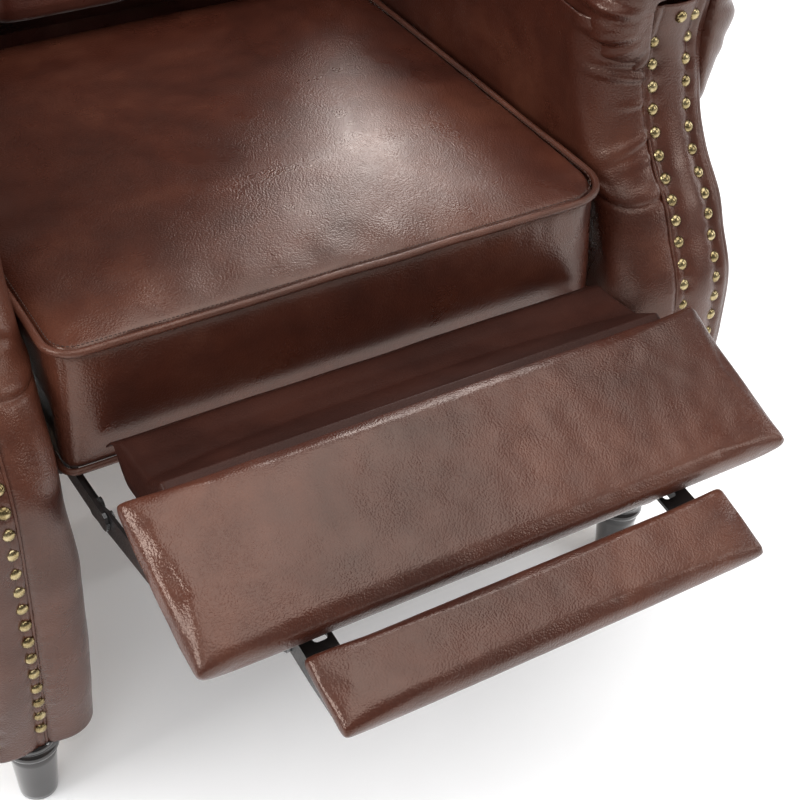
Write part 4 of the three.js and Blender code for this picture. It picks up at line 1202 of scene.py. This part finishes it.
def build_back():
    frame_top = (BACK_TOP - BACK_PIVOT.z) / math.cos(BACK_RAKE) / MM - 42
    half = 259.0
    face_y = -98.0
    foot = 100.0
    top = frame_top + 38

    def outline(v):
        """(y, h) round the side profile, from the rear foot forward, up the face and over the top."""
        stations = (
            (-13, foot), (-60, foot), (-84, foot + 4), (face_y + 3, foot + 14), (face_y, foot + 34),
            (face_y, foot + 120), (face_y, foot + 240), (face_y, foot + 360), (face_y, frame_top - 60),
            (face_y + 4, frame_top - 10), (face_y + 22, frame_top + 22), (face_y + 52, top - 1),
            (-12, top), (12, frame_top + 33), (22, frame_top + 20), (22, frame_top + 7), (-13, frame_top + 6),
        )
        return along_curve(stations, v)

    def place(u, v):
        x = (u * 2 - 1) * half
        y, h = outline(v)
        front = smooth(-y, 60, 90)
        edge = clamp((half - abs(x)) / 34)
        roundness = 1 - (1 - edge) ** 2.2
        y2 = y + (1 - roundness) * 40 * smooth(-y, 20, 90)
        dome = 6 * front * (1 - (abs(x) / half) ** 2)
        relief = back_depth(x, h) * front * smooth(edge, 0.0, 0.5) + dome
        return Vector((x * MM, (y2 - relief) * MM, h * MM))

    back = grid_piece("back_upholstery", 170, 260, place)
    bm = bmesh.new()
    bm.from_mesh(back.data)
    bmesh.ops.remove_doubles(bm, verts=bm.verts, dist=0.2 * MM)
    ends = [e for e in bm.edges if e.is_boundary]
    bmesh.ops.holes_fill(bm, edges=ends, sides=0)
    bmesh.ops.recalc_face_normals(bm, faces=bm.faces)
    bm.to_mesh(back.data)
    bm.free()
    rake = Matrix.Translation(BACK_PIVOT) @ Matrix.Rotation(-BACK_RAKE, 4, "X")
    back.data.transform(rake)
    shade_smooth(back.data)
    # the tufted face and its buttons take the hide copy with painted shade
    dress(back, "back", PAINTED_SHADE_HIDE, "leather", "back_cushion")

    bm = bmesh.new()
    for bx, bh in BUTTONS:
        made = bmesh.ops.create_uvsphere(bm, u_segments=24, v_segments=12, radius=11 * MM)
        bmesh.ops.scale(bm, verts=made["verts"], vec=(1, 0.45, 1))
        bmesh.ops.translate(bm, verts=made["verts"], vec=(bx * MM, (face_y + 27) * MM, bh * MM))
    bmesh.ops.transform(bm, verts=bm.verts, matrix=rake)
    buttons = finish_bmesh("back_buttons", bm)
    dress(buttons, "back", PAINTED_SHADE_HIDE, "leather")

    for label, side in SIDES:
        strip = grid_piece(
            f"back_side_leather_{label}", 10, 80,
            lambda u, v: Vector((
                side * (255.5 + 3.5 * math.sin(math.pi * u)) * MM,
                (-20 + 44 * u) * MM,
                (-20 + (frame_top + 24) * v) * MM)),
        )
        strip.data.transform(rake)
        if side < 0:
            strip.data.flip_normals()
        add_wall(strip)
        dress(strip, "back", BROWN, "leather")

    panel = grid_piece(
        "back_outer_leather", 60, 80,
        lambda u, v: Vector((
            (u * 2 - 1) * 259 * MM,
            (22.5 + 12.5 * rounded_rim(u, v)
             + 1.0 * wander((u, v, 0), 5.0, 3.0)) * MM,
            (-20 + (frame_top + 25) * v) * MM)),
    )
    panel.data.transform(rake)
    panel.data.flip_normals()
    add_wall(panel)
    dress(panel, "back", BROWN, "leather", "back_outer_panel")


def build_rear_panels():
    """Covers over the rear of the base and the rear ends of the arms."""
    low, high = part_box("rear_base_panel")
    places = [("rear_base_leather", low.x, high.x, high.z, ("rear_base_panel",))]
    for label, side in SIDES:
        ends = sorted((side * (ARM_INSIDE + 0.5 * MM), side * (ARM_OUTSIDE + 0.5 * MM)))
        places.append((f"arm_rear_leather_{label}", *ends, ROLL_Z - 52 * MM, ()))
    for name, left, right, top, nodes in places:
        cover = grid_piece(
            name, 60, 40,
            lambda u, v: Vector((
                left + (right - left) * u,
                ARM_REAR + 1.8 * MM
                + 3.5 * MM * rounded_rim(u, v)
                + 0.8 * MM * wander((u, v, left), 6.0, 8.0),
                ARM_BASE + 1 * MM + (top - ARM_BASE - 1 * MM) * v)),
        )
        cover.data.flip_normals()
        add_wall(cover)
        dress(cover, "chair_frame", BROWN, "leather", *nodes)


build_seat()
build_footrest()
build_flap()
for label, side in SIDES:
    build_arm(label, side)
build_legs()
build_back()
build_rear_panels()
